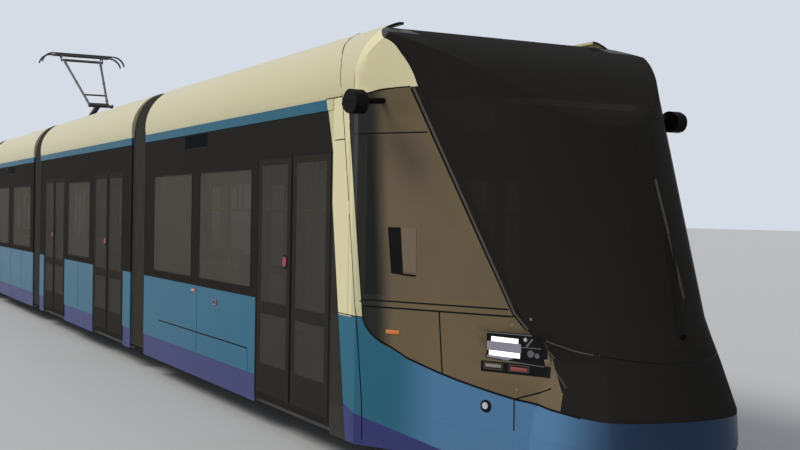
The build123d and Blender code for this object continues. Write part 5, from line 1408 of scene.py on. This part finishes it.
@dataclass(frozen=True)
class SideTrim:
    """Seals, joints and door furniture of the straight body sides."""

    seal: float = 0.014
    proud: float = 0.0025
    corner: float = 0.045
    joint: float = 0.005
    door_gap: float = 0.030
    end_strip: float = 0.375

    def build(self) -> None:
        """Build the trim of every module."""
        for half in HALVES:
            self._cab(half)
            self._saloon(half)
        self._centre()

    def _windows(self, piece: Piece, spans: Iterable[Pair]) -> None:
        """Rubber seal round each window of both sides, from (rear, front) spans."""
        for start, end in spans:
            for side in SIDES:
                middle = ((start + end) / 2, side * (HALF_WIDTH - 0.0005), (WINDOW_FOOT + WINDOW_HEAD) / 2)
                piece.ring(middle, (0, side, 0), end - start, WINDOW_HEAD - WINDOW_FOOT, self.seal,
                           self.proud, self.corner)

    def _joints(self, piece: Piece, lines: Iterable[tuple[Pair, Pair]]) -> None:
        """Dark joints on both sides, from ((x, z), (x, z)) lines."""
        for start, end in lines:
            for side in SIDES:
                y = side * HALF_WIDTH
                piece.beam((start[0], y, start[1]), (end[0], y, end[1]), (0, side, 0), self.joint, 0.0012)

    def _doors(self, piece: Piece, buttons: Piece, middles: Iterable[float]) -> None:
        """Finger rubbers, side and head seals, and push buttons of the doors."""
        half_width = DOOR_WIDTH / 2
        for middle in middles:
            for side in SIDES:
                y = side * (HALF_WIDTH - 0.001)
                facing = (0, side, 0)
                for offset in (-0.010, 0.010):
                    x = middle + offset
                    piece.beam((x, y, DOOR_FOOT + 0.004), (x, y, DOOR_HEAD - 0.008), facing, 0.012, 0.006,
                               0.003)
                for end in SIDES:
                    x = middle + end * (half_width - 0.008)
                    piece.beam((x, y, DOOR_FOOT + 0.004), (x, y, DOOR_HEAD - 0.006), facing, 0.010, 0.0025)
                top = DOOR_HEAD - 0.004
                piece.beam((middle - half_width, y, top), (middle + half_width, y, top), facing, 0.010,
                           0.0025)
                place = (middle - 0.137, y, RAIL + 1.53)
                piece.rod(place, (place[0], side * (HALF_WIDTH + 0.004), place[2]), 0.064, 0.060, 36)
                buttons.rod(place, (place[0], side * (HALF_WIDTH + 0.008), place[2]), 0.048, 0.043, 32)

    def _cab(self, half: Half) -> None:
        """Trim of a cab module."""
        piece, buttons, handles = Piece(), Piece(), Piece()
        at = PILLAR_REAR
        self._windows(piece, ((at - 5.140, at - 3.660), (at - 3.400, at - 1.830)))
        self._doors(piece, buttons, (at - DOOR_WIDTH / 2 - self.door_gap,))
        self._joints(piece, (
            ((CAB_BOGIE, JOINT_FOOT), (CAB_BOGIE, JOINT_HEAD)),
            ((at - 1.90, SKIRT_JOINT), (at - 1.88, JOINT_FOOT)),
        ))
        for side in SIDES:
            y = side * HALF_WIDTH
            piece.beam((at - 4.88, y, SKIRT_JOINT), (at - 1.895, y, SKIRT_JOINT), (0, side, 0), 0.013, 0.0012)
        piece.fit(half, "side_trim", SEALANT, "black_band")
        buttons.fit(half, "door_buttons", DOOR_BUTTON, "door_black")
        for side in SIDES:
            middle = (at - 2.85, side * (HALF_WIDTH - 0.001), RAIL + 1.04)
            handles.ring(middle, (0, side, 0), 0.105, 0.060, 0.012, 0.008, 0.029)
        handles.fit(half, "release_handles", RED_LAMP, "blue_paint")
        self._display(half.cab, half, at - 3.94, at - 3.16)

    def _saloon(self, half: Half) -> None:
        """Trim of a suspended saloon."""
        piece, buttons = Piece(), Piece()
        rear, front = SALOON_REAR, SALOON_FRONT
        middle = (rear + front) / 2
        self._windows(piece, ((middle - 0.740, middle + 0.740),))
        inset = self.end_strip + DOOR_WIDTH / 2 + self.door_gap
        self._doors(piece, buttons, (rear + inset, front - inset))
        self._joints(piece, (((middle, JOINT_FOOT), (middle, JOINT_HEAD)),))
        piece.place(half.saloon + "_side_trim", SEALANT, half.saloon, "black_band", half.trailing)
        buttons.place(half.saloon + "_door_buttons", DOOR_BUTTON, half.saloon, "door_black", half.trailing)

    def _centre(self) -> None:
        """Trim of the centre module."""
        piece = Piece()
        end = CENTRE_END
        self._windows(piece, ((-end + 0.300, -end + 2.150), (end - 2.150, end - 0.300)))
        self._joints(piece, tuple(((x, JOINT_FOOT), (x, JOINT_HEAD)) for x in (-1.2, 0.0, 1.2)))
        piece.place("centre_side_trim", SEALANT, "centre", "black_band")
        self._display("centre", HALVES[0], -0.40, 0.40)

    def _display(self, body: str, half: Half, x0: float, x1: float) -> None:
        """Blank side display in its frame over a window."""
        frame_piece, glass = Piece(), Piece()
        for side in SIDES:
            middle = ((x0 + x1) / 2, side * (HALF_WIDTH - 0.0005), RAIL + 2.70)
            frame_piece.ring(middle, (0, side, 0), x1 - x0, 0.165, 0.012, 0.003, 0.02)
            glass.beam((x0 + 0.012, middle[1], middle[2]), (x1 - 0.012, middle[1], middle[2]), (0, side, 0),
                       0.141, 0.0012)
        trailing = half.trailing and body != "centre"
        frame_piece.place(body + "_display_frames", SEALANT, body, "black_band", trailing)
        glass.place(body + "_side_displays", DISPLAY, body, "black_band", trailing)


@dataclass(frozen=True)
class RunningGear:
    """Fittings of the bogies: covers, springs, brakes, guards and pipes."""

    half_wheelbase: float = 0.925
    axle_height: float = RAIL + 0.300
    beam_y: float = 0.960
    beam_half: float = 0.055
    transom: float = 0.290
    spring_y: float = 0.460
    wheel_face: float = 0.755
    wheel_bolt_reach: float = 0.205
    disc_radius: float = 0.190
    disc_thick: float = 0.016
    disc_places: Pair = (0.300, 0.330)
    cover_bolt_reach: float = 0.093
    bolts: int = 8
    stand_off: float = 0.0004

    def build(self) -> None:
        """Build the fittings of all three bogies and their wheelsets."""
        for half in HALVES:
            self._bogie(half.cab + "_bogie", half.cab, CAB_BOGIE, half.trailing)
            self._wheelsets(half.cab, CAB_BOGIE, half.trailing)
        self._bogie("centre_bogie", "centre", 0.0, False)
        self._wheelsets("centre", 0.0, False)

    def _bogie(self, name: str, body: str, x: float, trailing: bool) -> None:
        """Fittings that ride on one bogie's frame."""
        covers, rubber, metal, pipes = Piece(), Piece(), Piece(), Piece()
        z = self.axle_height
        for side in SIDES:
            face = side * (self.beam_y + self.beam_half)
            for end in SIDES:
                axle = x + end * self.half_wheelbase
                self._cover(covers, axle, face, side)
                self._chevron(rubber, metal, axle, side)
                self._guard(metal, x, end, side)
            for dx in (-self.transom, self.transom):
                self._secondary(rubber, metal, x + dx, side * self.spring_y)
            y, top = side * self.beam_y, z + 0.128
            for near, far in ((-1.02, -0.52), (0.52, 1.02)):
                pipes.rod((x + near, y, top), (x + far, y, top), 0.010, sides=12)
            for along in (-0.95, -0.75, -0.58, 0.58, 0.75, 0.95):
                metal.box((x + along - 0.012, face - side * 0.08, z + 0.118),
                          (x + along + 0.012, face - side * 0.02, z + 0.142), 0.003)
            for along in (-0.34, 0.34):
                metal.box((x + along - 0.03, side * 0.62, z - 0.045),
                          (x + along + 0.03, side * 0.68, z + 0.085), 0.006)
        covers.place(name + "_axle_covers", AXLE_COVER, body, "bogie_steel", trailing)
        rubber.place(name + "_springs", RUBBER, body, "gaiter_rubber", trailing)
        metal.place(name + "_brackets", STEEL, body, "bogie_steel", trailing)
        pipes.place(name + "_pipes", PIPE, body, "bogie_steel", trailing)

    def _cover(self, piece: Piece, x: float, face: float, side: int) -> None:
        """Domed axlebox cover with a ring of bolts."""
        z = self.axle_height
        base = face + side * self.stand_off
        outline = [(x, base, z), (x, base, z + 0.108), (x, base + side * 0.010, z + 0.108),
                   (x, base + side * 0.014, z + 0.078), (x, base + side * 0.030, z + 0.064),
                   (x, base + side * 0.034, z)]
        piece.turned(outline, (x, base, z), ACROSS, 32)
        for cosine, sine in around(self.bolts, 0.5):
            bolt_x, bolt_z = x + self.cover_bolt_reach * cosine, z + self.cover_bolt_reach * sine
            piece.rod((bolt_x, base + side * 0.008, bolt_z), (bolt_x, base + side * 0.019, bolt_z), 0.008,
                      sides=6)

    def _chevron(self, rubber: Piece, metal: Piece, axle: float, side: int) -> None:
        """Layered rubber spring on each side of an axlebox, under the beam."""
        z = self.axle_height - 0.112
        for way in SIDES:
            for layer in range(4):
                near = axle + way * (0.060 + layer * 0.020)
                low = (near, side * 0.915, z - 0.030)
                rubber.box(low, (near + way * 0.014, side * 1.005, z + 0.045), 0.003)
                metal.box((near + way * 0.014, side * 0.910, z - 0.036),
                          (near + way * 0.020, side * 1.010, z + 0.050), 0.001)
        metal.box((axle - 0.150, side * 0.905, z - 0.046), (axle + 0.150, side * 1.012, z - 0.034), 0.004)

    def _secondary(self, rubber: Piece, metal: Piece, x: float, y: float) -> None:
        """Rubber bellows of an air spring round its post."""
        foot = self.axle_height + 0.061
        outline = [(x + out, y, foot + up) for out, up in (
            (0.0, 0.0), (0.112, 0.0), (0.124, 0.014), (0.124, 0.026), (0.108, 0.037), (0.124, 0.048),
            (0.124, 0.060), (0.110, 0.070), (0.0, 0.070))]
        rubber.turned(outline, (x, y, foot), UP, 40)
        metal.hoop((x, y, foot + 0.037), UP, 0.112, 0.006)

    def _guard(self, piece: Piece, x: float, end: int, side: int) -> None:
        """Life guard hung from the beam's end, ahead of the wheel."""
        start = x + end * (self.half_wheelbase + 0.130)
        front = start + end * 0.330
        z = self.axle_height
        piece.beam((start, side * 0.905, z + 0.010), (front, side * 0.800, z - 0.020), (0, side, 0.3),
                   0.060, 0.008, 0.003)
        piece.beam((front, side * 0.800, z - 0.020), (front + end * 0.020, side * 0.755, RAIL + 0.075),
                   (end, 0, 0), 0.075, 0.007, 0.003)

    def _wheelsets(self, stem: str, x: float, trailing: bool) -> None:
        """Bolt rings and brake discs that turn with each wheelset."""
        for number, offset in ((1, self.half_wheelbase), (2, -self.half_wheelbase)):
            bolts, discs = Piece(), Piece()
            axle = x + offset
            z = self.axle_height
            for side in SIDES:
                for cosine, sine in around(self.bolts * 2):
                    bolt_x, bolt_z = axle + self.wheel_bolt_reach * cosine, z + self.wheel_bolt_reach * sine
                    bolts.rod((bolt_x, side * (self.wheel_face - 0.002), bolt_z),
                              (bolt_x, side * (self.wheel_face + 0.013), bolt_z), 0.011, sides=6)
                for near in self.disc_places:
                    far = near + self.disc_thick
                    outline = [(axle, side * y, z + up) for y, up in (
                        (near, 0.0), (near, self.disc_radius), (far, self.disc_radius), (far, 0.0))]
                    discs.turned(outline, outline[0], ACROSS, 40)
                for cosine, sine in around(12):
                    inner, outer = ((axle + reach * cosine, side * 0.323, z + reach * sine)
                                    for reach in (self.disc_radius - 0.090, self.disc_radius - 0.010))
                    discs.beam(inner, outer, (0, side, 0), 0.008, 0.008)
            body = f"{stem}_wheelset_{number}"
            bolts.place(body + "_bolts", WHEEL, body, "wheel_steel", trailing)
            discs.place(body + "_brake_discs", DISC, body, "wheel_steel", trailing)


@dataclass(frozen=True)
class RoofCase:
    """One equipment case in the roof well: where it lies, its top, and its fans."""

    start: float
    end: float
    height: float
    fans: int


@dataclass(frozen=True)
class RoofGear:
    """Louvres, grilles, seams, bolts and cable runs of the roof well."""

    deck: float = RAIL + 2.650
    case_half: float = 0.640
    duct_y: float = 0.780
    slats: int = 7
    bolt_pitch: float = 0.220
    fan_rings: tuple[float, ...] = (0.055, 0.090, 0.125, 0.160, 0.195, 0.228)
    fan_reach: float = 0.232

    def build(self) -> None:
        """Build the roof fittings of every module."""
        cab = (RoofCase(CAB_REAR + 0.3, CAB_REAR + 2.5, 0.610, 2),
               RoofCase(CAB_REAR + 2.9, CAB_REAR + 4.9, 0.560, 0))
        saloon = (RoofCase(SALOON_REAR + 0.3, SALOON_REAR + 2.6, 0.610, 2),
                  RoofCase(SALOON_REAR + 3.0, SALOON_REAR + 5.7, 0.560, 0))
        centre = (RoofCase(-2.2, -1.0, 0.520, 1), RoofCase(1.75, 2.25, 0.480, 0))
        for half in HALVES:
            self._module(half.cab, cab, CAB_REAR + 0.1, PILLAR_REAR - 0.1, half.trailing)
            self._module(half.saloon, saloon, SALOON_REAR + 0.1, SALOON_FRONT - 0.1, half.trailing)
            self._aerials(half)
        self._module("centre", centre, -CENTRE_END + 0.1, CENTRE_END - 0.1, False)

    def _module(self, body: str, cases: Iterable[RoofCase], start: float, end: float, trailing: bool) -> None:
        """Fittings of one module's roof well."""
        louvres, grilles, lids, ducts = Piece(), Piece(), Piece(), Piece()
        for case in cases:
            self._louvres(louvres, case)
            self._fans(grilles, louvres, case)
            self._lid(lids, case)
        for side in SIDES:
            y = side * self.duct_y
            ducts.box((start, y - 0.055, self.deck + 0.012), (end, y + 0.055, self.deck + 0.062), 0.006)
            ducts.rod((start, side * 0.700, self.deck + 0.035), (end, side * 0.700, self.deck + 0.035), 0.016,
                      sides=14)
            for x in spread(start + 0.04, end - 0.04, int((end - start) / 0.6)):
                ducts.box((x - 0.014, y - 0.105, self.deck + 0.0005),
                          (x + 0.014, y + 0.066, self.deck + 0.070), 0.004)
        louvres.place(body + "_roof_louvres", GRILLE, body, "cream_paint", trailing)
        if grilles.shape.faces:
            grilles.place(body + "_fan_grilles", GRILLE, body, "cream_paint", trailing)
        lids.place(body + "_roof_lids", ROOF_CASE, body, "cream_paint", trailing)
        ducts.place(body + "_roof_ducts", DUCT, body, "cream_paint", trailing)

    def _louvres(self, piece: Piece, case: RoofCase) -> None:
        """Slanted slats in each recess of a case's sides."""
        count = max(2, int((case.end - case.start) / 0.420))
        foot, head = self.deck + 0.130, self.deck + case.height - 0.110
        for x in spread(case.start + 0.125, case.end - 0.125, count - 1):
            for side in SIDES:
                for slat in range(self.slats):
                    z = foot + (head - foot) * (slat + 0.5) / self.slats
                    y = side * (self.case_half - 0.0118)
                    piece.beam((x - 0.086, y, z), (x + 0.086, y, z), (0, side, 0.9), 0.030, 0.0022)

    def _fans(self, grille: Piece, blades: Piece, case: RoofCase) -> None:
        """Wire grille over each fan, and the fan's blades under it."""
        top = self.deck + case.height
        for index in range(case.fans):
            x = case.start + (case.end - case.start) * (index + 0.5) / case.fans
            for radius in self.fan_rings:
                grille.hoop((x, 0, top + 0.024), UP, radius, 0.0035, 6)
            for cosine, sine in around(8):
                grille.rod((x + 0.05 * cosine, 0.05 * sine, top + 0.021),
                           (x + self.fan_reach * cosine, self.fan_reach * sine, top + 0.021), 0.0035, sides=8)
            for cosine, sine in around(7):
                blades.beam((x + 0.062 * cosine, 0.062 * sine, top + 0.011),
                            (x + 0.210 * cosine, 0.210 * sine, top + 0.011),
                            (-0.25 * sine, 0.25 * cosine, 1), 0.075, 0.0015)

    def _lid(self, piece: Piece, case: RoofCase) -> None:
        """Lid strips, edge bolts and lifting eyes of a case."""
        top = self.deck + case.height
        count = max(2, round((case.end - case.start) / 0.75))
        clear = 0.30 if case.fans else 0.0
        for x in spread(case.start, case.end, count)[1:-1]:
            for side in SIDES:
                piece.box((x - 0.018, side * clear, top - 0.001), (x + 0.018, side * 0.560, top + 0.005),
                          0.002)
        bolts = int((case.end - case.start - 0.12) / self.bolt_pitch)
        for x in spread(case.start + 0.06, case.end - 0.06, bolts):
            for side in SIDES:
                piece.rod((x, side * 0.545, top - 0.001), (x, side * 0.545, top + 0.006), 0.009, sides=6)
        for x in (case.start + 0.07, case.end - 0.07):
            for side in SIDES:
                piece.hoop((x, side * 0.500, top + 0.020), ACROSS, 0.022, 0.006, 10)

    def _aerials(self, half: Half) -> None:
        """Low radio domes on the leading case."""
        piece = Piece()
        top = self.deck + 0.560
        for x, y in ((PILLAR_REAR - 1.10, -0.25), (PILLAR_REAR - 1.45, 0.20)):
            outline = [(x + out, y, top + up) for out, up in (
                (0.0, 0.0), (0.060, 0.0), (0.060, 0.012), (0.050, 0.034), (0.026, 0.052), (0.0, 0.058))]
            piece.turned(outline, (x, y, top), UP, 32)
        piece.fit(half, "aerials", DISPLAY, "cream_paint")


@dataclass(frozen=True)
class Pantograph:
    """Springs, cams, straps and end fittings of the pantograph, each on its own part."""

    base_z: float = RAIL + 3.400
    rail_top: float = RAIL + 3.450
    pivot: Pair = (-0.100, RAIL + 3.520)
    elbow: Pair = (1.540, RAIL + 3.935)
    head: Pair = (0.060, RAIL + 4.930)

    def build(self) -> None:
        """Build the fittings of base, arms and head."""
        self._base()
        self._arms()
        self._head()

    def _base(self) -> None:
        """Lifting springs with their end fittings and brackets, and bolts of the base frame."""
        springs, fittings = Piece(), Piece()
        z = self.rail_top + 0.040
        for y in (-0.130, 0.0):
            for turn in range(22):
                springs.hoop((-0.500 + turn * 0.0145, y, z), (1, 0, 0.12), 0.030, 0.0052, 6)
            fittings.rod((-0.545, y, z), (-0.500, y, z), 0.020, 0.012, 16)
            fittings.rod((-0.185, y, z), (-0.150, y, z), 0.012, 0.018, 16)
            fittings.box((-0.560, y - 0.030, self.base_z + 0.02), (-0.530, y + 0.030, z + 0.030), 0.004)
        for x in (-0.535, 0.595):
            for side in SIDES:
                for dx in (-0.0162, 0.0162):
                    for dy in (-0.0162, 0.0162):
                        bolt_x, bolt_y = x + dx, side * 0.420 + dy
                        fittings.rod((bolt_x, bolt_y, self.rail_top - 0.001),
                                     (bolt_x, bolt_y, self.rail_top + 0.010), 0.006, sides=6)
        springs.place("pantograph_springs", SPRING, "centre", "pantograph_steel")
        fittings.place("pantograph_base_fittings", PANTOGRAPH, "centre", "pantograph_steel")

    def _arms(self) -> None:
        """Cam discs and a current strap on the lower arm, clamps on both arms."""
        lower, upper = Piece(), Piece()
        pivot, elbow, head = (Vector((p[0], 0, p[1])) for p in (self.pivot, self.elbow, self.head))
        for y in (-0.150, 0.150):
            lower.rod((pivot.x, y - 0.006, pivot.z), (pivot.x, y + 0.006, pivot.z), 0.074, sides=40)
            lower.rod((pivot.x, y - 0.018, pivot.z), (pivot.x, y + 0.018, pivot.z), 0.064, sides=32)
        along = (elbow - pivot).normalized()
        for share in (0.12, 0.86):
            middle = pivot.lerp(elbow, share)
            lower.rod(middle - along * 0.018, middle + along * 0.018, 0.052, sides=32)
        beside = Vector((0, 0.054, 0))
        lower.rod(pivot.lerp(elbow, 0.13) + beside, pivot.lerp(elbow, 0.85) + beside, 0.007, sides=10)
        for side in SIDES:
            start = Vector((elbow.x, side * 0.170, elbow.z))
            end = Vector((head.x, side * 0.360, head.z))
            run = (end - start).normalized()
            for share in (0.10, 0.50, 0.92):
                middle = start.lerp(end, share)
                upper.rod(middle - run * 0.014, middle + run * 0.014, 0.026, sides=24)
        lower.place("pantograph_lower_fittings", PANTOGRAPH, "pantograph_lower", "pantograph_steel")
        upper.place("pantograph_upper_fittings", PANTOGRAPH, "pantograph_upper", "pantograph_steel")

    def _head(self) -> None:
        """Steel carriers under the carbon strips, their bolts and the strip's end pieces."""
        carriers, ends = Piece(), Piece()
        z = self.head[1] + 0.095
        for dx in (-0.150, 0.150):
            x = self.head[0] + dx
            carriers.box((x - 0.022, -0.560, z - 0.007), (x + 0.022, 0.560, z + 0.006), 0.002)
            for y in spread(-0.52, 0.52, 8):
                carriers.rod((x, y, z - 0.013), (x, y, z - 0.006), 0.007, sides=6)
            for side in SIDES:
                ends.box((x - 0.021, side * 0.548, z - 0.003), (x + 0.021, side * 0.580, z + 0.0285), 0.004)
                carriers.hoop((x, side * 0.403, z - 0.028), ACROSS, 0.020, 0.005, 8)
        carriers.place("pantograph_carriers", PANTOGRAPH, "pantograph_head", "carbon_strip")
        ends.place("pantograph_strip_ends", CHROME, "pantograph_head", "carbon_strip")


@dataclass(frozen=True)
class SeatPlace:
    """Place of one passenger or driver seat: x, y, facing and cushion height."""

    x: float
    y: float
    facing: int
    cushion: float


@dataclass(frozen=True)
class Saloons:
    """Upholstery, grips, rails, lights and driver's controls inside the modules."""

    floor: float = RAIL + 0.350
    podium: float = RAIL + 0.700
    ceiling: float = RAIL + 2.560
    pad_half: float = 0.190
    pad_thick: float = 0.024
    rail_height: float = RAIL + 1.980
    rail_y: float = 0.620
    light_y: float = 0.950

    def build(self) -> None:
        """Build the fittings inside every module."""
        middle = (SALOON_REAR + SALOON_FRONT) / 2
        cab = [SeatPlace(CAB_BOGIE + dx, side * 0.930, 1, self.podium + 0.100)
               for dx in (-0.900, -0.250, 0.400) for side in SIDES]
        saloon = [SeatPlace(middle + dx, side * 0.980, 1 if dx > 0 else -1, self.floor + 0.450)
                  for dx in (-0.450, 0.450) for side in SIDES]
        centre = [SeatPlace(x, side * 0.930, 1 if x > 0 else -1, self.podium + 0.100)
                  for x in (-0.950, -0.320, 0.320, 0.950) for side in SIDES]
        driver = [SeatPlace(PILLAR_REAR + 0.700, 0.0, 1, self.floor + 0.480)]
        for half in HALVES:
            self._seats(half.cab, half.cab, cab, half.trailing)
            self._seats(half.cab + "_driver", half.cab, driver, half.trailing)
            self._seats(half.saloon, half.saloon, saloon, half.trailing)
            self._rails(half.cab, CAB_REAR + 0.35, PILLAR_REAR - 0.25, half.trailing)
            self._rails(half.saloon, SALOON_REAR + 0.35, SALOON_FRONT - 0.35, half.trailing)
            self._desk(half)
        self._seats("centre", "centre", centre, False)
        self._rails("centre", -CENTRE_END + 0.35, CENTRE_END - 0.35, False)

    def _seats(self, stem: str, body: str, places: Iterable[SeatPlace], trailing: bool) -> None:
        """Padded base and back of each seat, and a grip over each backrest."""
        grips = Piece()
        pads = Piece()
        for place in places:
            spot = Vector((place.x + place.facing * 0.030, place.y, place.cushion + 0.006))
            self._pad(pads, Matrix.Translation(spot), 0.195)
            lean = math.radians(97.0)
            turn = Matrix.Rotation(-place.facing * lean, 4, "Y")
            spot = Vector((place.x - place.facing * 0.196, place.y, place.cushion + 0.290))
            self._pad(pads, Matrix.Translation(spot) @ turn, 0.215)
            back = place.x - place.facing * 0.262
            top = place.cushion + 0.548
            for side in SIDES:
                grips.rod((back, place.y + side * 0.150, top - 0.030),
                          (back, place.y + side * 0.130, top + 0.045), 0.011, sides=14)
            grips.rod((back, place.y - 0.136, top + 0.042), (back, place.y + 0.136, top + 0.042), 0.012,
                      sides=14)
        cushions = pads.loose(stem + "_seat_pads", CLOTH, "interior_trim", trailing, 60)
        soften = cushions.modifiers.new("crown", "SUBSURF")
        soften.levels = soften.render_levels = 1
        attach(cushions, body)
        grips.place(stem + "_seat_grips", GRIP, body, "interior_trim", trailing)

    def _pad(self, piece: Piece, matrix: Matrix, reach: float) -> None:
        """Add a crowned pad whose sides draw in between its corners.

        Args:
            piece: Piece that takes the pad.
            matrix: Place of the pad's underside middle, with its face along Z.
            reach: Half of the pad's length.
        """
        made = bmesh.ops.create_grid(piece.shape, x_segments=6, y_segments=6, size=1.0)
        verts = made["verts"]
        faces = list({face for vertex in verts for face in vertex.link_faces})
        upper = piece.raised(faces, (0, 0, 0))
        for vertex in upper:
            x, y = vertex.co.x, vertex.co.y
            crown = (1 - x ** 4) * (1 - y ** 4)
            channel = 0.16 * math.exp(-((abs(y) - 0.34) / 0.07) ** 2) * (1 - x ** 4)
            vertex.co.z = self.pad_thick * (0.35 + 0.65 * crown - channel)
        for vertex in verts + upper:
            x, y = vertex.co.x, vertex.co.y
            pull = 0.05 * (1 - min(abs(x), abs(y)) ** 2)
            vertex.co.x = x * (1 - pull * (1 - y * y)) * reach
            vertex.co.y = y * (1 - pull * (1 - x * x)) * self.pad_half
        bmesh.ops.transform(piece.shape, matrix=matrix, verts=verts + upper)

    def _rails(self, body: str, start: float, end: float, trailing: bool) -> None:
        """Hand rails under the ceiling with their hangers, and light diffusers."""
        rails, lights, hangers = Piece(), Piece(), Piece()
        low, high = self.rail_height, self.ceiling - 0.001
        for side in SIDES:
            y, light_y = side * self.rail_y, side * self.light_y
            rails.rod((start, y, low), (end, y, low), 0.016, sides=16)
            for tip, way in ((start, 1), (end, -1)):
                rails.rod((tip, y, low), (tip + way * 0.001, y, high), 0.016, sides=16)
            for x in spread(start, end, max(2, int((end - start) / 0.9)))[1:-1]:
                hangers.rod((x, y, low + 0.01), (x, y, high), 0.010, sides=12)
                hangers.rod((x, y, self.ceiling - 0.014), (x, y, high), 0.030, sides=24)
            ends = spread(start, end, max(2, int((end - start) / 1.2)))
            for rear, front in zip(ends, ends[1:]):
                lights.box((rear + 0.02, light_y - 0.045, self.ceiling - 0.0415),
                           (front - 0.02, light_y + 0.045, self.ceiling - 0.0358), 0.002)
        rails.place(body + "_hand_rails", GRIP, body, "interior_trim", trailing)
        hangers.place(body + "_rail_hangers", GRIP, body, "interior_trim", trailing)
        lights.place(body + "_light_diffusers", DIFFUSER, body, "interior_trim", trailing)

    def _desk(self, half: Half) -> None:
        """Driver's displays, master lever, switches and arm rests."""
        screens, levers, keys, rests = Piece(), Piece(), Piece(), Piece()
        top = self.floor + 0.720
        at = PILLAR_REAR
        for y in (-0.300, 0.0, 0.300):
            screens.box((at + 1.205, y - 0.125, top + 0.020), (at + 1.222, y + 0.125, top + 0.130), 0.004)
        for y in (-0.520, 0.520):
            x = at + 1.330
            levers.rod((x, y, top), (x, y, top + 0.012), 0.055, 0.050, 28)
            levers.rod((x, y, top + 0.010), (x - 0.03, y, top + 0.110), 0.010, 0.008, 14)
            levers.rod((x - 0.035, y - 0.030, top + 0.118), (x - 0.035, y + 0.030, top + 0.118), 0.017,
                       sides=20)
        for column in range(7):
            for side in SIDES:
                x, y = at + 1.240 + 0.042 * (column % 4), side * (0.600 + 0.045 * (column // 4))
                keys.rod((x, y, top - 0.001), (x, y, top + 0.010), 0.014, 0.012, 18)
        for side in SIDES:
            rests.box((at + 0.560, side * 0.255 - 0.035, self.floor + 0.690),
                      (at + 0.860, side * 0.255 + 0.035, self.floor + 0.730), 0.014, 3)
            rests.rod((at + 0.600, side * 0.215, self.floor + 0.560),
                      (at + 0.600, side * 0.255, self.floor + 0.700), 0.013, sides=14)
        for piece, what, finish in ((screens, "desk_screens", DISPLAY), (levers, "desk_levers", SEALANT),
                                    (keys, "desk_keys", RED_LAMP), (rests, "arm_rests", RUBBER)):
            piece.fit(half, what, finish, "interior_trim")


@dataclass(frozen=True)
class UnderFloor:
    """Cable trays, pipes and boxes hung from the floor frames, clear of the bogies."""

    beam_foot: float = RAIL + 0.220
    tray_y: float = 0.520
    tray_half: float = 0.070
    bay: float = 1.360
    inset: float = 0.100

    def build(self) -> None:
        """Build the trays of every module."""
        for half in HALVES:
            cab = ((CAB_REAR + self.inset, CAB_BOGIE - self.bay), (CAB_BOGIE + self.bay, PILLAR_REAR + 0.30))
            self._run(half.cab, cab, half.trailing)
            self._run(half.saloon, ((SALOON_REAR + self.inset, SALOON_FRONT - self.inset),), half.trailing)
        reach = CENTRE_END - self.inset
        self._run("centre", ((-reach, -self.bay), (self.bay, reach)), False)

    def _run(self, body: str, spans: Iterable[Pair], trailing: bool) -> None:
        """Trays with their lids, a pair of pipes, clips and a junction box per span."""
        trays, pipes = Piece(), Piece()
        foot, top = self.beam_foot, self.beam_foot - 0.0005
        for start, end in spans:
            for side in SIDES:
                y = side * self.tray_y
                trays.box((start, y - self.tray_half, foot - 0.046), (end, y + self.tray_half, top), 0.006)
                for offset in (0.130, 0.165):
                    beside = y + side * offset
                    pipes.rod((start, beside, foot - 0.020), (end, beside, foot - 0.020), 0.011, sides=12)
                low, high = sorted((y - side * 0.078, y + side * 0.185))
                for x in spread(start + 0.03, end - 0.03, max(2, int((end - start) / 0.45))):
                    trays.box((x - 0.010, low, foot - 0.049), (x + 0.010, high, top), 0.002)
                if end - start > 1.0:
                    middle, inner = (start + end) / 2, y - side * 0.40
                    trays.box((middle - 0.16, inner - 0.12, foot - 0.090),
                              (middle + 0.16, inner + 0.12, top), 0.010)
        trays.place(body + "_cable_trays", DUCT, body, "bogie_steel", trailing)
        pipes.place(body + "_brake_pipes", PIPE, body, "bogie_steel", trailing)


def main() -> None:
    """Set the view and build and dress each sub-assembly in turn."""
    logging.basicConfig(level=logging.INFO, format="%(name)s: %(message)s")
    bpy.context.scene.view_settings.view_transform = "Standard"
    PhotoView().build()
    Studio().build()
    dress_frame()
    for node in frame["nodes"]:
        if node.endswith(SMOOTH_NODES):
            smooth_node(node)
    Bellows().build()
    Nose().build()
    SideTrim().build()
    RunningGear().build()
    RoofGear().build()
    Pantograph().build()
    Saloons().build()
    UnderFloor().build()


if __name__ == "__main__":
    main()
